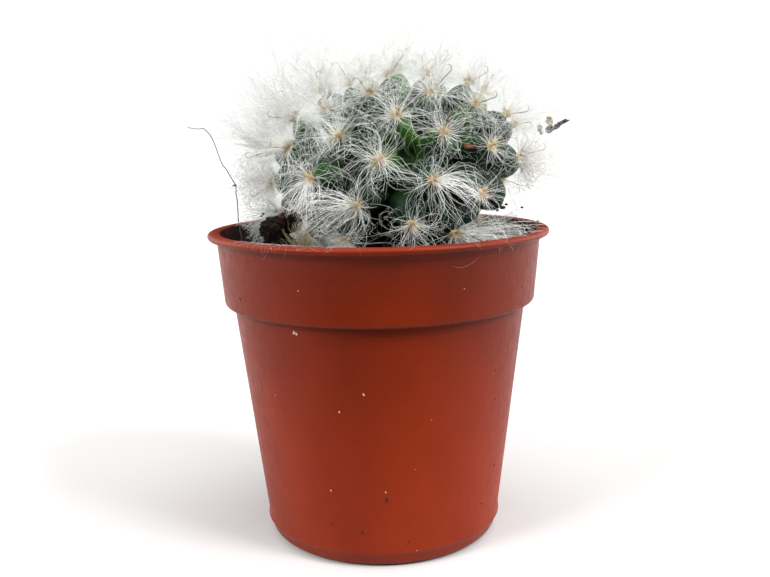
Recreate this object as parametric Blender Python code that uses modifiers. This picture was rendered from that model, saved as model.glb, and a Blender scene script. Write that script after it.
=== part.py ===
"""Powder puff cactus in a small plastic plant pot.

Metres, +Z up. The pot stands on the plane z = 0 with its axis on Z, and -Y is the front.
"""

import math
import random

import bmesh
import bpy
from mathutils import Matrix, Vector, noise
from mathutils.bvhtree import BVHTree

SEED = 55
GAP = 0.0003

# Pot: a thin moulded shell with a tall collar under a narrow lip
POT_HEIGHT = 0.0502
LIP_RADIUS = 0.0275
LIP_HEIGHT = 0.0010
COLLAR_TOP_RADIUS = 0.02605
COLLAR_FOOT_RADIUS = 0.0252
COLLAR_FOOT_Z = 0.0386
BODY_TOP_RADIUS = 0.0237
BASE_RADIUS = 0.0190
BASE_CORNER = 0.0018
POT_WALL = 0.0006
FLOOR_TOP_Z = 0.0022
FOOT_RING_INNER_RADIUS = 0.0165
RECESS_DEPTH = 0.0012
CENTRE_PAD_RADIUS = 0.0040
POT_STEPS = 48
DRAIN_HOLES = 6
DRAIN_HOLE_RADIUS = 0.0022
DRAIN_CIRCLE_RADIUS = 0.0105

# Peat
SOIL_LEVEL = 0.0455
SOIL_ROUGHNESS = 0.0006
SOIL_RINGS = 4
SOIL_STEPS = 32
CRUMB_COUNT = 11
CRUMB_RADII = (0.0009, 0.0017)
CRUMB_BUMPS = 0.25
CLUMP_PLACE = Vector((-0.0138, -0.0140, 0.0487))
CLUMP_RADIUS = 0.0027
CLUMP_HALF_HEIGHT = 0.0055

# Cactus body: tubercle tips lie on a tilted spheroid
BODY_CENTRE = Vector((0.0030, 0.0015, 0.06035))
BODY_RADIUS = 0.0204
BODY_HALF_HEIGHT = 0.0144
BODY_LEAN = Matrix.Rotation(math.radians(12.7), 3, "X") @ Matrix.Rotation(math.radians(-6.4), 3, "Y")
FIRST_TURN = math.radians(285.3)
DIVERGENCE = math.radians(137.63)
CELL_AREA = 59.2e-6
CROWN_CROWDING = 0.475
CROWDING_REACH = 0.45
LAST_POLAR = 2.6
LOWEST_TIP_Z = 0.0484
TUBERCLE_HALF_LENGTH = 0.0042
TUBERCLE_WIDTH_SHARE = 0.36
VALLEY_DEPTH = 0.0055
NECK_TOP_RADIUS = 0.0098
NECK_FOOT_RADIUS = 0.0068
NECK_TOP_Z = 0.0530
NECK_FOOT_Z = 0.0385
NECK_STEPS = 20

# Wool: a tuft of tapered hairs and one hooked spine on each tubercle
AREOLE_RADIUS = 0.00065
AREOLE_UNDERCUT = 0.55
HAIR_LENGTHS = (0.0064, 0.0088)
SHORTEST_HAIR = 0.0016
HAIR_FLATNESS = 0.85
HAIR_SCATTER = 0.07
HAIR_ROOT_RADIUS = 0.00018
LOWEST_HAIR = math.radians(4.0)
HOOK_LENGTHS = (0.0050, 0.0064)
HOOK_REACH = 0.0012
HOOK_LEAN = 0.35
SPINE_WIDTH_SHARE = 0.42
SPINE_TAPER = 0.9

# Root fibre: one dark strand of peat fibre that stands up beside the plant
FIBRE_RADIUS = 0.00016
FIBRE_ROUTE = (
    Vector((-0.0225, -0.0036, 0.0448)),
    Vector((-0.0225, -0.0040, 0.0538)),
    Vector((-0.0224, -0.0040, 0.0585)),
    Vector((-0.0239, -0.0040, 0.0624)),
    Vector((-0.0255, -0.0040, 0.0659)),
    Vector((-0.0293, -0.0040, 0.0668)),
)
FIBRE_POINTS = 19


def clear_scene():
    for obj in list(bpy.data.objects):
        bpy.data.objects.remove(obj, do_unlink=True)


def new_collection(name):
    collection = bpy.data.collections.new(name)
    bpy.context.scene.collection.children.link(collection)
    return collection


def add_object(name, bm, collection):
    """Put a finished bmesh in the scene as an object."""
    mesh = bpy.data.meshes.new(name)
    bm.to_mesh(mesh)
    bm.free()
    obj = bpy.data.objects.new(name, mesh)
    collection.objects.link(obj)
    return obj


def finish(obj, colour, roughness, smooth_angle=None):
    """Give a node its own material, and smooth shading where its surface is round."""
    material = bpy.data.materials.new(obj.name)
    material.use_nodes = True
    shader = material.node_tree.nodes["Principled BSDF"]
    shader.inputs["Base Color"].default_value = (*colour, 1.0)
    shader.inputs["Roughness"].default_value = roughness
    shader.inputs["Metallic"].default_value = 0.0
    obj.data.materials.clear()
    obj.data.materials.append(material)
    if smooth_angle is not None:
        obj.data.shade_smooth()
        obj.data.set_sharp_from_angle(angle=math.radians(smooth_angle))


def apply_boolean(obj, operation, collection):
    """Join or cut with every object of a collection at once, then remove them."""
    modifier = obj.modifiers.new(operation.lower(), "BOOLEAN")
    modifier.operation = operation
    modifier.operand_type = "COLLECTION"
    modifier.collection = collection
    modifier.solver = "EXACT"
    bpy.context.view_layer.objects.active = obj
    bpy.ops.object.modifier_apply(modifier=modifier.name)
    for operand in list(collection.objects):
        bpy.data.objects.remove(operand, do_unlink=True)
    bpy.data.collections.remove(collection)


def wall_radius(z):
    """Inner radius of the pot at a height."""
    if z < COLLAR_FOOT_Z:
        share = z / COLLAR_FOOT_Z
        return BASE_RADIUS + share * (BODY_TOP_RADIUS - BASE_RADIUS) - POT_WALL
    share = (z - COLLAR_FOOT_Z) / (POT_HEIGHT - COLLAR_FOOT_Z)
    return COLLAR_FOOT_RADIUS + share * (COLLAR_TOP_RADIUS - COLLAR_FOOT_RADIUS) - POT_WALL


def pot_profile():
    """Half section as (radius, z): up the inside from the axis, then down the outside to it."""
    step_z = COLLAR_FOOT_Z + POT_WALL
    lip_z = POT_HEIGHT - LIP_HEIGHT
    inside = [
        (0.0, FLOOR_TOP_Z),
        (wall_radius(FLOOR_TOP_Z), FLOOR_TOP_Z),
        (BODY_TOP_RADIUS - POT_WALL, COLLAR_FOOT_Z),
        (wall_radius(step_z), step_z + POT_WALL),
        (COLLAR_TOP_RADIUS - POT_WALL, POT_HEIGHT - LIP_HEIGHT / 4),
    ]
    lip = [
        (COLLAR_TOP_RADIUS - 0.7 * POT_WALL, POT_HEIGHT),
        (LIP_RADIUS - LIP_HEIGHT / 3, POT_HEIGHT),
        (LIP_RADIUS, POT_HEIGHT - LIP_HEIGHT / 3),
        (LIP_RADIUS, lip_z + LIP_HEIGHT / 4),
        (COLLAR_TOP_RADIUS, lip_z),
    ]
    collar_foot = [
        (COLLAR_FOOT_RADIUS, COLLAR_FOOT_Z + 0.0004),
        (COLLAR_FOOT_RADIUS - 0.0004, COLLAR_FOOT_Z),
        (BODY_TOP_RADIUS, COLLAR_FOOT_Z - 0.0002),
    ]
    base = [
        (BASE_RADIUS + 0.0002, BASE_CORNER),
        (BASE_RADIUS - 0.3 * BASE_CORNER, 0.3 * BASE_CORNER),
        (BASE_RADIUS - BASE_CORNER, 0.0),
        (FOOT_RING_INNER_RADIUS, 0.0),
        (FOOT_RING_INNER_RADIUS - 0.0004, RECESS_DEPTH),
        (CENTRE_PAD_RADIUS + 0.0004, RECESS_DEPTH),
        (CENTRE_PAD_RADIUS, 0.0),
        (0.0, 0.0),
    ]
    return inside + lip + collar_foot + base


def make_pot(collection):
    bm = bmesh.new()
    points = [bm.verts.new((radius, 0.0, z)) for radius, z in pot_profile()]
    for first, second in zip(points, points[1:]):
        bm.edges.new((first, second))
    pot = add_object("pot", bm, collection)
    screw = pot.modifiers.new("turn", "SCREW")
    screw.axis = "Z"
    screw.steps = POT_STEPS
    screw.render_steps = POT_STEPS
    screw.use_merge_vertices = True
    screw.merge_threshold = 0.00001

    cutters = new_collection("drain_hole_cutters")
    for index in range(DRAIN_HOLES):
        turn = math.tau * (index + 0.5) / DRAIN_HOLES
        place = Vector((math.cos(turn), math.sin(turn), 0.0)) * DRAIN_CIRCLE_RADIUS
        bm = bmesh.new()
        bmesh.ops.create_cone(
            bm,
            cap_ends=True,
            segments=14,
            radius1=DRAIN_HOLE_RADIUS,
            radius2=DRAIN_HOLE_RADIUS,
            depth=4 * FLOOR_TOP_Z,
            matrix=Matrix.Translation(place),
        )
        cutter = add_object(f"drain_hole_cutter_{index}", bm, cutters)
        cutter.hide_render = True
        cutter.display_type = "WIRE"
    drain = pot.modifiers.new("drain_holes", "BOOLEAN")
    drain.operation = "DIFFERENCE"
    drain.operand_type = "COLLECTION"
    drain.collection = cutters
    drain.solver = "EXACT"
    finish(pot, (0.36, 0.085, 0.045), 0.45)
    return pot


def areoles():
    """Tubercle tips from the crown down, as (tip, outward normal, width of the space round it).

    Each is one divergence angle round from the one before, and each has its own equal cell of
    the spheroid's surface, with smaller cells at the crown.
    """
    found = []
    polar = 0.0
    filled = 0.0
    step = 0.001
    while polar < LAST_POLAR:
        stretch = math.hypot(BODY_RADIUS * math.cos(polar), BODY_HALF_HEIGHT * math.sin(polar))
        cell = CELL_AREA * (1.0 - CROWN_CROWDING * math.exp(-polar / CROWDING_REACH))
        filled += math.tau * BODY_RADIUS * math.sin(polar) * stretch * step / cell
        polar += step
        if filled < len(found) + 0.5:
            continue
        turn = FIRST_TURN + DIVERGENCE * len(found)
        out = Vector((math.sin(polar) * math.cos(turn), math.sin(polar) * math.sin(turn), math.cos(polar)))
        size = Vector((BODY_RADIUS, BODY_RADIUS, BODY_HALF_HEIGHT))
        tip = BODY_CENTRE + BODY_LEAN @ (out * size)
        normal = BODY_LEAN @ Vector(o / s for o, s in zip(out, size))
        found.append((tip, normal.normalized(), math.sqrt(cell)))
    return [areole for areole in found if areole[0].z > LOWEST_TIP_Z]


def standing_on(place, normal):
    """Matrix that takes +Z to a normal and the origin to a place."""
    return Matrix.Translation(place) @ normal.to_track_quat("Z", "Y").to_matrix().to_4x4()


def make_stem(collection, places):
    """Core, neck and tubercles, joined in one body."""
    bm = bmesh.new()
    core = Vector((BODY_RADIUS, BODY_RADIUS, BODY_HALF_HEIGHT)) - Vector.Fill(3, VALLEY_DEPTH)
    shape = Matrix.Translation(BODY_CENTRE) @ BODY_LEAN.to_4x4() @ Matrix.Diagonal((*core, 1.0))
    bmesh.ops.create_icosphere(bm, subdivisions=2, radius=1.0, matrix=shape)
    stem = add_object("stem", bm, collection)

    growths = new_collection("stem_growths")
    bm = bmesh.new()
    middle = Vector((BODY_CENTRE.x, BODY_CENTRE.y, (NECK_TOP_Z + NECK_FOOT_Z) / 2))
    bmesh.ops.create_cone(
        bm,
        cap_ends=True,
        segments=NECK_STEPS,
        radius1=NECK_FOOT_RADIUS,
        radius2=NECK_TOP_RADIUS,
        depth=NECK_TOP_Z - NECK_FOOT_Z,
        matrix=Matrix.Translation(middle),
    )
    add_object("neck", bm, growths)
    for index, (tip, normal, space) in enumerate(places):
        width = space * TUBERCLE_WIDTH_SHARE
        size = Matrix.Diagonal((width, width, TUBERCLE_HALF_LENGTH, 1.0))
        bm = bmesh.new()
        bmesh.ops.create_uvsphere(
            bm,
            u_segments=7,
            v_segments=5,
            radius=1.0,
            matrix=standing_on(tip - normal * TUBERCLE_HALF_LENGTH, normal) @ size,
        )
        add_object(f"tubercle_{index}", bm, growths)
    apply_boolean(stem, "UNION", growths)
    finish(stem, (0.05, 0.11, 0.045), 0.55, 50)
    return stem


def crumble(place):
    """Height of the peat's bumps at a place, between -1 and 1."""
    coarse = noise.noise(place * 320.0)
    fine = noise.noise(place * 900.0)
    return coarse + 0.5 * fine


def make_soil(collection, rng):
    """Peat that fills the pot, with a rough top, crumbs, a raised clump and a hole for the neck."""
    floor_z = FLOOR_TOP_Z + GAP
    waist_z = COLLAR_FOOT_Z - GAP
    bm = bmesh.new()
    bmesh.ops.create_cone(
        bm,
        cap_ends=True,
        segments=SOIL_STEPS,
        radius1=wall_radius(floor_z) - BASE_CORNER / 2 - GAP,
        radius2=BODY_TOP_RADIUS - POT_WALL - GAP,
        depth=waist_z - floor_z,
        matrix=Matrix.Translation((0.0, 0.0, (floor_z + waist_z) / 2)),
    )
    top = max(bm.faces, key=lambda face: face.calc_center_median().z)
    raised = bmesh.ops.extrude_discrete_faces(bm, faces=[top])["faces"][0]
    bmesh.ops.translate(bm, vec=(0.0, 0.0, SOIL_LEVEL - waist_z), verts=raised.verts)
    shallow = wall_radius(SOIL_LEVEL) - 2 * GAP
    for vert in raised.verts:
        vert.co.xy *= shallow / vert.co.xy.length
    for _ in range(SOIL_RINGS):
        bmesh.ops.inset_region(bm, faces=[raised], thickness=shallow / (SOIL_RINGS + 0.5))
    for vert in bm.verts:
        if vert.co.z > SOIL_LEVEL - GAP:
            vert.co.z += SOIL_ROUGHNESS * crumble(vert.co)
    bmesh.ops.triangulate(bm, faces=[face for face in bm.faces if len(face.verts) == 4])
    soil = add_object("soil", bm, collection)

    lumps = [(CLUMP_PLACE, CLUMP_RADIUS, CLUMP_HALF_HEIGHT, 2)]
    for _ in range(CRUMB_COUNT):
        turn = rng.uniform(0.0, math.tau)
        reach = rng.uniform(0.6, 0.92) * shallow
        radius = rng.uniform(*CRUMB_RADII)
        place = Vector((reach * math.cos(turn), reach * math.sin(turn), SOIL_LEVEL + radius / 4))
        lumps.append((place, radius, radius, 1))
    crumbs = new_collection("crumbs")
    for index, (place, radius, half_height, subdivisions) in enumerate(lumps):
        size = Matrix.Diagonal((radius, radius, half_height, 1.0))
        bm = bmesh.new()
        bmesh.ops.create_icosphere(
            bm, subdivisions=subdivisions, radius=1.0, matrix=Matrix.Translation(place) @ size
        )
        for vert in bm.verts:
            vert.co += (vert.co - place) * CRUMB_BUMPS * crumble(vert.co)
        add_object(f"crumb_{index}", bm, crumbs)
    apply_boolean(soil, "UNION", crumbs)

    cutters = new_collection("neck_hole")
    bm = bmesh.new()
    foot_z = NECK_FOOT_Z - GAP
    bmesh.ops.create_cone(
        bm,
        cap_ends=True,
        segments=NECK_STEPS,
        radius1=NECK_FOOT_RADIUS + 1.2 * GAP,
        radius2=NECK_TOP_RADIUS + 1.3 * GAP,
        depth=NECK_TOP_Z - foot_z,
        matrix=Matrix.Translation((BODY_CENTRE.x, BODY_CENTRE.y, (NECK_TOP_Z + foot_z) / 2)),
    )
    add_object("neck_hole_cutter", bm, cutters)
    bm = bmesh.new()
    bmesh.ops.create_cone(
        bm,
        cap_ends=True,
        segments=8,
        radius1=FIBRE_RADIUS + 1.5 * GAP,
        radius2=FIBRE_RADIUS + 1.5 * GAP,
        depth=0.004,
        matrix=Matrix.Translation(FIBRE_ROUTE[0] + Vector((0.0, 0.0, 0.002 - GAP))),
    )
    add_object("fibre_hole_cutter", bm, cutters)
    apply_boolean(soil, "DIFFERENCE", cutters)
    finish(soil, (0.020, 0.014, 0.010), 0.95)
    return soil


def smooth_route(points, count):
    """Points evenly spread along a Catmull-Rom curve through a few hand-set ones."""
    ends = [2 * points[0] - points[1], *points, 2 * points[-1] - points[-2]]
    spans = len(points) - 1
    route = []
    for index in range(count):
        along = spans * index / (count - 1)
        span = min(int(along), spans - 1)
        t = along - span
        a, b, c, d = ends[span : span + 4]
        route.append(
            0.5 * (2 * b + (c - a) * t + (2 * a - 5 * b + 4 * c - d) * t**2 + (3 * (b - c) + d - a) * t**3)
        )
    return route


def make_fibre(collection):
    """Round strand along its route, standing in its own hole in the peat."""
    curve = bpy.data.curves.new("root_fibre", "CURVE")
    curve.dimensions = "3D"
    curve.bevel_depth = FIBRE_RADIUS
    curve.bevel_resolution = 1
    curve.use_fill_caps = True
    route = smooth_route(FIBRE_ROUTE, FIBRE_POINTS)
    spline = curve.splines.new("POLY")
    spline.points.add(len(route) - 1)
    for point, place in zip(spline.points, route):
        point.co = (*place, 1.0)
    fibre = bpy.data.objects.new("root_fibre", curve)
    collection.objects.link(fibre)
    finish(fibre, (0.03, 0.022, 0.016), 0.9)
    return fibre


def surface_of(obj):
    """Nearest-point tree of an object's finished surface."""
    evaluated = obj.evaluated_get(bpy.context.evaluated_depsgraph_get())
    bm = bmesh.new()
    bm.from_mesh(evaluated.to_mesh())
    tree = BVHTree.FromBMesh(bm)
    bm.free()
    evaluated.to_mesh_clear()
    return tree


def clear_length(start, direction, length, obstacles):
    """How far a hair can run from its areole before it comes too near another node."""
    run = 2 * AREOLE_RADIUS
    while run < length:
        place = start + direction * run
        radius = HAIR_ROOT_RADIUS * (1.0 - run / length)
        nearest = min(tree.find_nearest(place)[3] for tree in obstacles)
        if nearest < GAP + radius:
            return run - GAP
        run += GAP
    return length


def areole_cushion(place, normal, rng):
    """Round cushion with a flat underside, turned at random about its own axis."""
    bm = bmesh.new()
    bmesh.ops.create_icosphere(bm, subdivisions=1, radius=AREOLE_RADIUS)
    spin = Matrix.Rotation(rng.uniform(0.0, math.tau), 4, "Z")
    bmesh.ops.transform(bm, matrix=spin, verts=bm.verts)
    cut = bmesh.ops.bisect_plane(
        bm,
        geom=bm.verts[:] + bm.edges[:] + bm.faces[:],
        plane_co=(0.0, 0.0, -AREOLE_UNDERCUT * AREOLE_RADIUS),
        plane_no=(0.0, 0.0, -1.0),
        clear_outer=True,
    )
    rim = [item for item in cut["geom_cut"] if isinstance(item, bmesh.types.BMEdge)]
    bmesh.ops.contextual_create(bm, geom=rim)
    bmesh.ops.transform(bm, matrix=standing_on(place, normal), verts=bm.verts)
    return bm


def draw_to_point(bm, face, tip):
    """Turn a face into a slim pyramid that ends at a point."""
    middle = bmesh.ops.poke(bm, faces=[face])["verts"][0]
    middle.co = tip


def draw_hook(bm, face, place, normal, rng, obstacles):
    """Extrude a face of the cushion into a straight spine with a small hook at its end."""
    side = (face.normal - normal * face.normal.dot(normal)).normalized()
    shaft = (normal + HOOK_LEAN * side).normalized()
    bend = (side - shaft * side.dot(shaft)).normalized()
    room = clear_length(place, shaft, max(HOOK_LENGTHS) + HOOK_REACH, obstacles) - HOOK_REACH
    length = min(rng.uniform(*HOOK_LENGTHS), room)
    if length < SHORTEST_HAIR:
        return
    top = place + shaft * length
    route = [
        place + shaft * 1.6 * AREOLE_RADIUS,
        top,
        top + (0.50 * shaft + 0.45 * bend) * HOOK_REACH,
        top + (0.15 * shaft + 1.00 * bend) * HOOK_REACH,
    ]
    heading = face.normal.copy()
    width = SPINE_WIDTH_SHARE
    for here, there in zip(route, route[1:]):
        face = bmesh.ops.extrude_discrete_faces(bm, faces=[face])["faces"][0]
        way = (there - here).normalized()
        swing = heading.rotation_difference(way)
        middle = face.calc_center_median()
        for vert in face.verts:
            vert.co = here + swing @ (vert.co - middle) * width
        heading = way
        width = SPINE_TAPER
    draw_to_point(bm, face, route[-1])


def make_tuft(name, seat, older, rng, obstacles, collection):
    """Areole with one hooked spine, hairs all round, and a hair that runs into an older areole."""
    place, normal = seat
    bm = areole_cushion(place, normal, rng)
    faces = [face for face in bm.faces if face.normal.dot(normal) > -AREOLE_UNDERCUT]
    faces.sort(key=lambda face: -face.normal.dot(normal))
    draw_hook(bm, faces.pop(0), place, normal, rng, obstacles)
    if older:
        way = (older[0] - place).normalized()
        nearest = max(faces, key=lambda face: face.normal.dot(way))
        faces.remove(nearest)
        draw_to_point(bm, nearest, older[0] + way * AREOLE_RADIUS / 2)
    for face in faces:
        out = (face.calc_center_median() - place).normalized()
        across = (out - normal * out.dot(normal)).normalized()
        rise = max(LOWEST_HAIR, math.asin(out.dot(normal)) * HAIR_FLATNESS)
        scatter = Vector(rng.uniform(-HAIR_SCATTER, HAIR_SCATTER) for _ in range(3))
        direction = (across * math.cos(rise) + normal * math.sin(rise) + scatter).normalized()
        length = clear_length(place, direction, rng.uniform(*HAIR_LENGTHS), obstacles)
        if length > SHORTEST_HAIR:
            draw_to_point(bm, face, place + direction * length)
    add_object(name, bm, collection)


def make_wool(collection, places, rng, obstacles):
    """The tufts of all the tubercles, joined in one body by the hairs between them."""
    lift = GAP + AREOLE_UNDERCUT * AREOLE_RADIUS
    seats = [(tip + normal * lift, normal) for tip, normal, _ in places]
    make_tuft("wool", seats[0], None, rng, obstacles, collection)
    tufts = new_collection("wool_tufts")
    for index in range(1, len(seats)):
        place = seats[index][0]
        older = min(seats[:index], key=lambda seat: (seat[0] - place).length)
        make_tuft(f"tuft_{index}", seats[index], older, rng, obstacles, tufts)
    wool = collection.objects["wool"]
    apply_boolean(wool, "UNION", tufts)
    finish(wool, (0.82, 0.80, 0.74), 0.85)
    return wool


def main():
    clear_scene()
    rng = random.Random(SEED)
    parts = new_collection("potted_powder_puff_cactus")
    places = areoles()
    neighbours = [
        make_pot(parts),
        make_soil(parts, rng),
        make_stem(parts, places),
        make_fibre(parts),
    ]
    bpy.context.view_layer.update()
    make_wool(parts, places, rng, [surface_of(obj) for obj in neighbours])


main()
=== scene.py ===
"""Potted powder puff cactus: one woolly young plant in a small terracotta-coloured plastic pot.

Metres, +Z up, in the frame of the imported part: the pot stands on z = 0 with its axis on Z.
"""
import math
import random

import bmesh
import bpy
import numpy as np
from mathutils import Matrix, Vector, noise
from mathutils.bvhtree import BVHTree


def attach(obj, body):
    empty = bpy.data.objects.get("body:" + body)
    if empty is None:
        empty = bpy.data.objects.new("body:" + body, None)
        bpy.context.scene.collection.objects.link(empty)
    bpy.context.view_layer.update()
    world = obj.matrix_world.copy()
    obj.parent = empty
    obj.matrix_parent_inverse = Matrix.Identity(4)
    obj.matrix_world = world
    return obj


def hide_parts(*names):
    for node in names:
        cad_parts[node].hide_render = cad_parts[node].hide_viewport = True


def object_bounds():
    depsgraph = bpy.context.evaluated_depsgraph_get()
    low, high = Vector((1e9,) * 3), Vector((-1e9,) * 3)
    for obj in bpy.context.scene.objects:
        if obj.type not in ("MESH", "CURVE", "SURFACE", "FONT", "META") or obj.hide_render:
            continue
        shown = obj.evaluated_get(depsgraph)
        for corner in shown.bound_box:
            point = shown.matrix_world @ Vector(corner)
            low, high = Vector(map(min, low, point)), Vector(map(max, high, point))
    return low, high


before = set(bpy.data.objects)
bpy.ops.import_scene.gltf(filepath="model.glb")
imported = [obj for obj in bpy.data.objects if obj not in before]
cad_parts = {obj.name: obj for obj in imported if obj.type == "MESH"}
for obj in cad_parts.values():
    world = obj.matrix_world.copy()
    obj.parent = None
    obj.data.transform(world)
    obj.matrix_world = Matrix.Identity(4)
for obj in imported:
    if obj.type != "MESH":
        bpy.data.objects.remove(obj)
cad_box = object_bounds()

# Camera: held just above the rim and close to the pot, looking a little down at the plant.
# Its focal length is in pixels of a frame 770 wide, and it is turned slightly clockwise.
FRAME_WIDTH = 770
FOCAL_PIXELS = 925.0
SENSOR_WIDTH = 36.0
CAMERA_PLACE = Vector((0.0, -0.1505, 0.0663))
CAMERA_PITCH = 0.173
CAMERA_YAW = 0.006
CAMERA_ROLL = 0.0189


def put_in_scene(name, data, *materials):
    """Put a camera, a light or a finished mesh in the scene, a mesh with its materials."""
    thing = bpy.data.objects.new(name, data)
    bpy.context.scene.collection.objects.link(thing)
    for material in materials:
        data.materials.append(material)
    return thing


ahead = Vector((
    math.sin(CAMERA_YAW) * math.cos(CAMERA_PITCH),
    math.cos(CAMERA_YAW) * math.cos(CAMERA_PITCH),
    -math.sin(CAMERA_PITCH),
))
level_right = ahead.cross(Vector((0.0, 0.0, 1.0))).normalized()
level_up = level_right.cross(ahead)
camera_right = math.cos(CAMERA_ROLL) * level_right - math.sin(CAMERA_ROLL) * level_up
camera_up = math.sin(CAMERA_ROLL) * level_right + math.cos(CAMERA_ROLL) * level_up
camera_turn = Matrix((camera_right, camera_up, -ahead)).transposed().to_4x4()

camera_data = bpy.data.cameras.new("camera")
camera_data.sensor_width = SENSOR_WIDTH
camera_data.lens = FOCAL_PIXELS / FRAME_WIDTH * SENSOR_WIDTH
camera_data.clip_start = 0.01
camera_data.clip_end = 20.0
camera = put_in_scene("camera", camera_data)
camera.matrix_world = Matrix.Translation(CAMERA_PLACE) @ camera_turn
bpy.context.scene.camera = camera

# Studio: a wide pale table that blends with the white behind it and ends close in front of the
# pot. White walls glow at both sides and behind, and the camera's side is dark. Two small lights
# at the front corners throw the soft shadows, and a wide one hangs overhead.
FLOOR_SIZE = 6.0
FLOOR_FRONT_Y = -0.065
FLOOR_COLOUR = (0.562, 0.556, 0.552)
BACKDROP_WHITE = 1.05
FILL_STRENGTH = 0.02
SIDE_GLOW = 4.5
GLOW_Y = (-0.50, 0.30)
LIGHTS = (
    # name, the way to the light, strength, width in degrees
    ("left_light", (-0.65, -0.47, 0.58), 2.25, 20.0),
    ("right_light", (0.66, -0.42, 0.66), 2.60, 20.0),
    ("overhead_light", (0.14, -0.28, 0.94), 2.10, 50.0),
)


def bmesh_to_mesh(name, bm, smooth_angle=None):
    """End a bmesh as a mesh, with smooth shading up to an angle between its faces."""
    mesh = bpy.data.meshes.new(name)
    bm.to_mesh(mesh)
    bm.free()
    if smooth_angle is not None:
        mesh.shade_smooth()
        mesh.set_sharp_from_angle(angle=math.radians(smooth_angle))
    return mesh


def finished_piece(name, bm, smooth_angle, material):
    """End a bmesh as a piece of the scene."""
    return put_in_scene(name, bmesh_to_mesh(name, bm, smooth_angle), material)


def new_material(name, colour, roughness, shine=0.5):
    """A plain material to hang a pattern on, with its node tree and its shader."""
    material = bpy.data.materials.new(name)
    material.use_nodes = True
    shader = material.node_tree.nodes["Principled BSDF"]
    shader.inputs["Base Color"].default_value = (*colour, 1.0)
    shader.inputs["Roughness"].default_value = roughness
    shader.inputs["Specular IOR Level"].default_value = shine
    return material, material.node_tree, shader


def feed(tree, socket, value):
    """Link a socket to another socket, or give it a fixed value."""
    if isinstance(value, bpy.types.NodeSocket):
        tree.links.new(value, socket)
    else:
        socket.default_value = value


def calculate(tree, operation, *values):
    """The result of a maths node on sockets or numbers."""
    node = tree.nodes.new("ShaderNodeMath")
    node.operation = operation
    for socket, value in zip(node.inputs, values):
        feed(tree, socket, value)
    return node.outputs["Value"]


def remap(tree, value, low, high, to_low=0.0, to_high=1.0):
    """Stretch part of a value's range to another."""
    node = tree.nodes.new("ShaderNodeMapRange")
    names = ("Value", "From Min", "From Max", "To Min", "To Max")
    for name, number in zip(names, (value, low, high, to_low, to_high)):
        feed(tree, node.inputs[name], number)
    return node.outputs["Result"]


bm = bmesh.new()
middle = Matrix.Translation((0.0, FLOOR_FRONT_Y + FLOOR_SIZE / 2, 0.0))
bmesh.ops.create_grid(bm, x_segments=2, y_segments=2, size=FLOOR_SIZE / 2, matrix=middle)
material, tree, shader = new_material("white_table", FLOOR_COLOUR, roughness=0.9, shine=0.0)
table = finished_piece("table", bm, None, material)

for name, source, strength, width in LIGHTS:
    light_data = bpy.data.lights.new(name, "SUN")
    light_data.energy = strength
    light_data.angle = math.radians(width)
    light = put_in_scene(name, light_data)
    light.rotation_mode = "QUATERNION"
    light.rotation_quaternion = (-Vector(source)).to_track_quat("-Z", "Y")

world = bpy.data.worlds.new("white_studio")
world.use_nodes = True
tree = world.node_tree
background = tree.nodes["Background"]
background.inputs["Color"].default_value = (1.0, 1.0, 1.0, 1.0)
direction = tree.nodes.new("ShaderNodeSeparateXYZ")
tree.links.new(tree.nodes.new("ShaderNodeTexCoord").outputs["Generated"], direction.inputs["Vector"])
sideways = calculate(tree, "MULTIPLY", direction.outputs["X"], direction.outputs["X"])
behind = remap(tree, direction.outputs["Y"], *GLOW_Y, to_high=SIDE_GLOW)
glow = calculate(tree, "MULTIPLY_ADD", sideways, behind, FILL_STRENGTH)
light_path = tree.nodes.new("ShaderNodeLightPath")
brightness = tree.nodes.new("ShaderNodeMix")
feed(tree, brightness.inputs["A"], glow)
feed(tree, brightness.inputs["B"], BACKDROP_WHITE)
feed(tree, brightness.inputs["Factor"], light_path.outputs["Is Camera Ray"])
feed(tree, background.inputs["Strength"], brightness.outputs["Result"])
bpy.context.scene.world = world
bpy.context.scene.view_settings.view_transform = "Standard"

# Pot: one injection-moulded shell of terracotta-coloured plastic, with a rounded lip, a tall
# collar, a step under it and a tapered body on a foot ring. Six holes drain its recessed floor.
POT_HEIGHT = 0.0502
LIP_RADIUS = 0.0275
LIP_HEIGHT = 0.0010
COLLAR_TOP_RADIUS = 0.02605
COLLAR_FOOT_RADIUS = 0.0252
COLLAR_FOOT_Z = 0.0386
COLLAR_ROUND = 0.0007
BODY_TOP_RADIUS = 0.0237
BASE_RADIUS = 0.0190
BASE_FLARE = 0.0002
BASE_CORNER = 0.0018
BASE_RIDGE = 0.00022
RIDGE_RISE = 0.0010
RIDGE_REACH = 0.0005
RIDGE_FLAT = 0.00015
POT_WALL = 0.0006
FLOOR_TOP_Z = 0.0022
FLOOR_FILLET = 0.0006
FOOT_RING_INNER_RADIUS = 0.0165
RECESS_DEPTH = 0.0012
RECESS_DRAFT = 0.0004
CENTRE_PAD_RADIUS = 0.0040
POT_STEPS = 180
POT_SMOOTH_ANGLE = 38
WELD_DISTANCE = 0.000002
DRAIN_HOLES = 6
DRAIN_HOLE_RADIUS = 0.0022
DRAIN_HOLE_STEPS = 28
DRAIN_CIRCLE_RADIUS = 0.0105
PLASTIC_COLOUR = (0.212, 0.0192, 0.0026)
PLASTIC_DARK = (0.158, 0.0138, 0.0020)
PLASTIC_ROUGHNESS = 0.40
PLASTIC_SHINE = 0.15
SPECK_COLOUR = (0.045, 0.012, 0.008)
DUST_COLOUR = (0.75, 0.50, 0.36)
# Painted shade: high up inside the pot the wall is coloured near-black, for the shade under the rim
INNER_WALL_SHADE = (0.012, 0.004, 0.0025)
INNER_SHADE_FOOT_Z = 0.040


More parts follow.
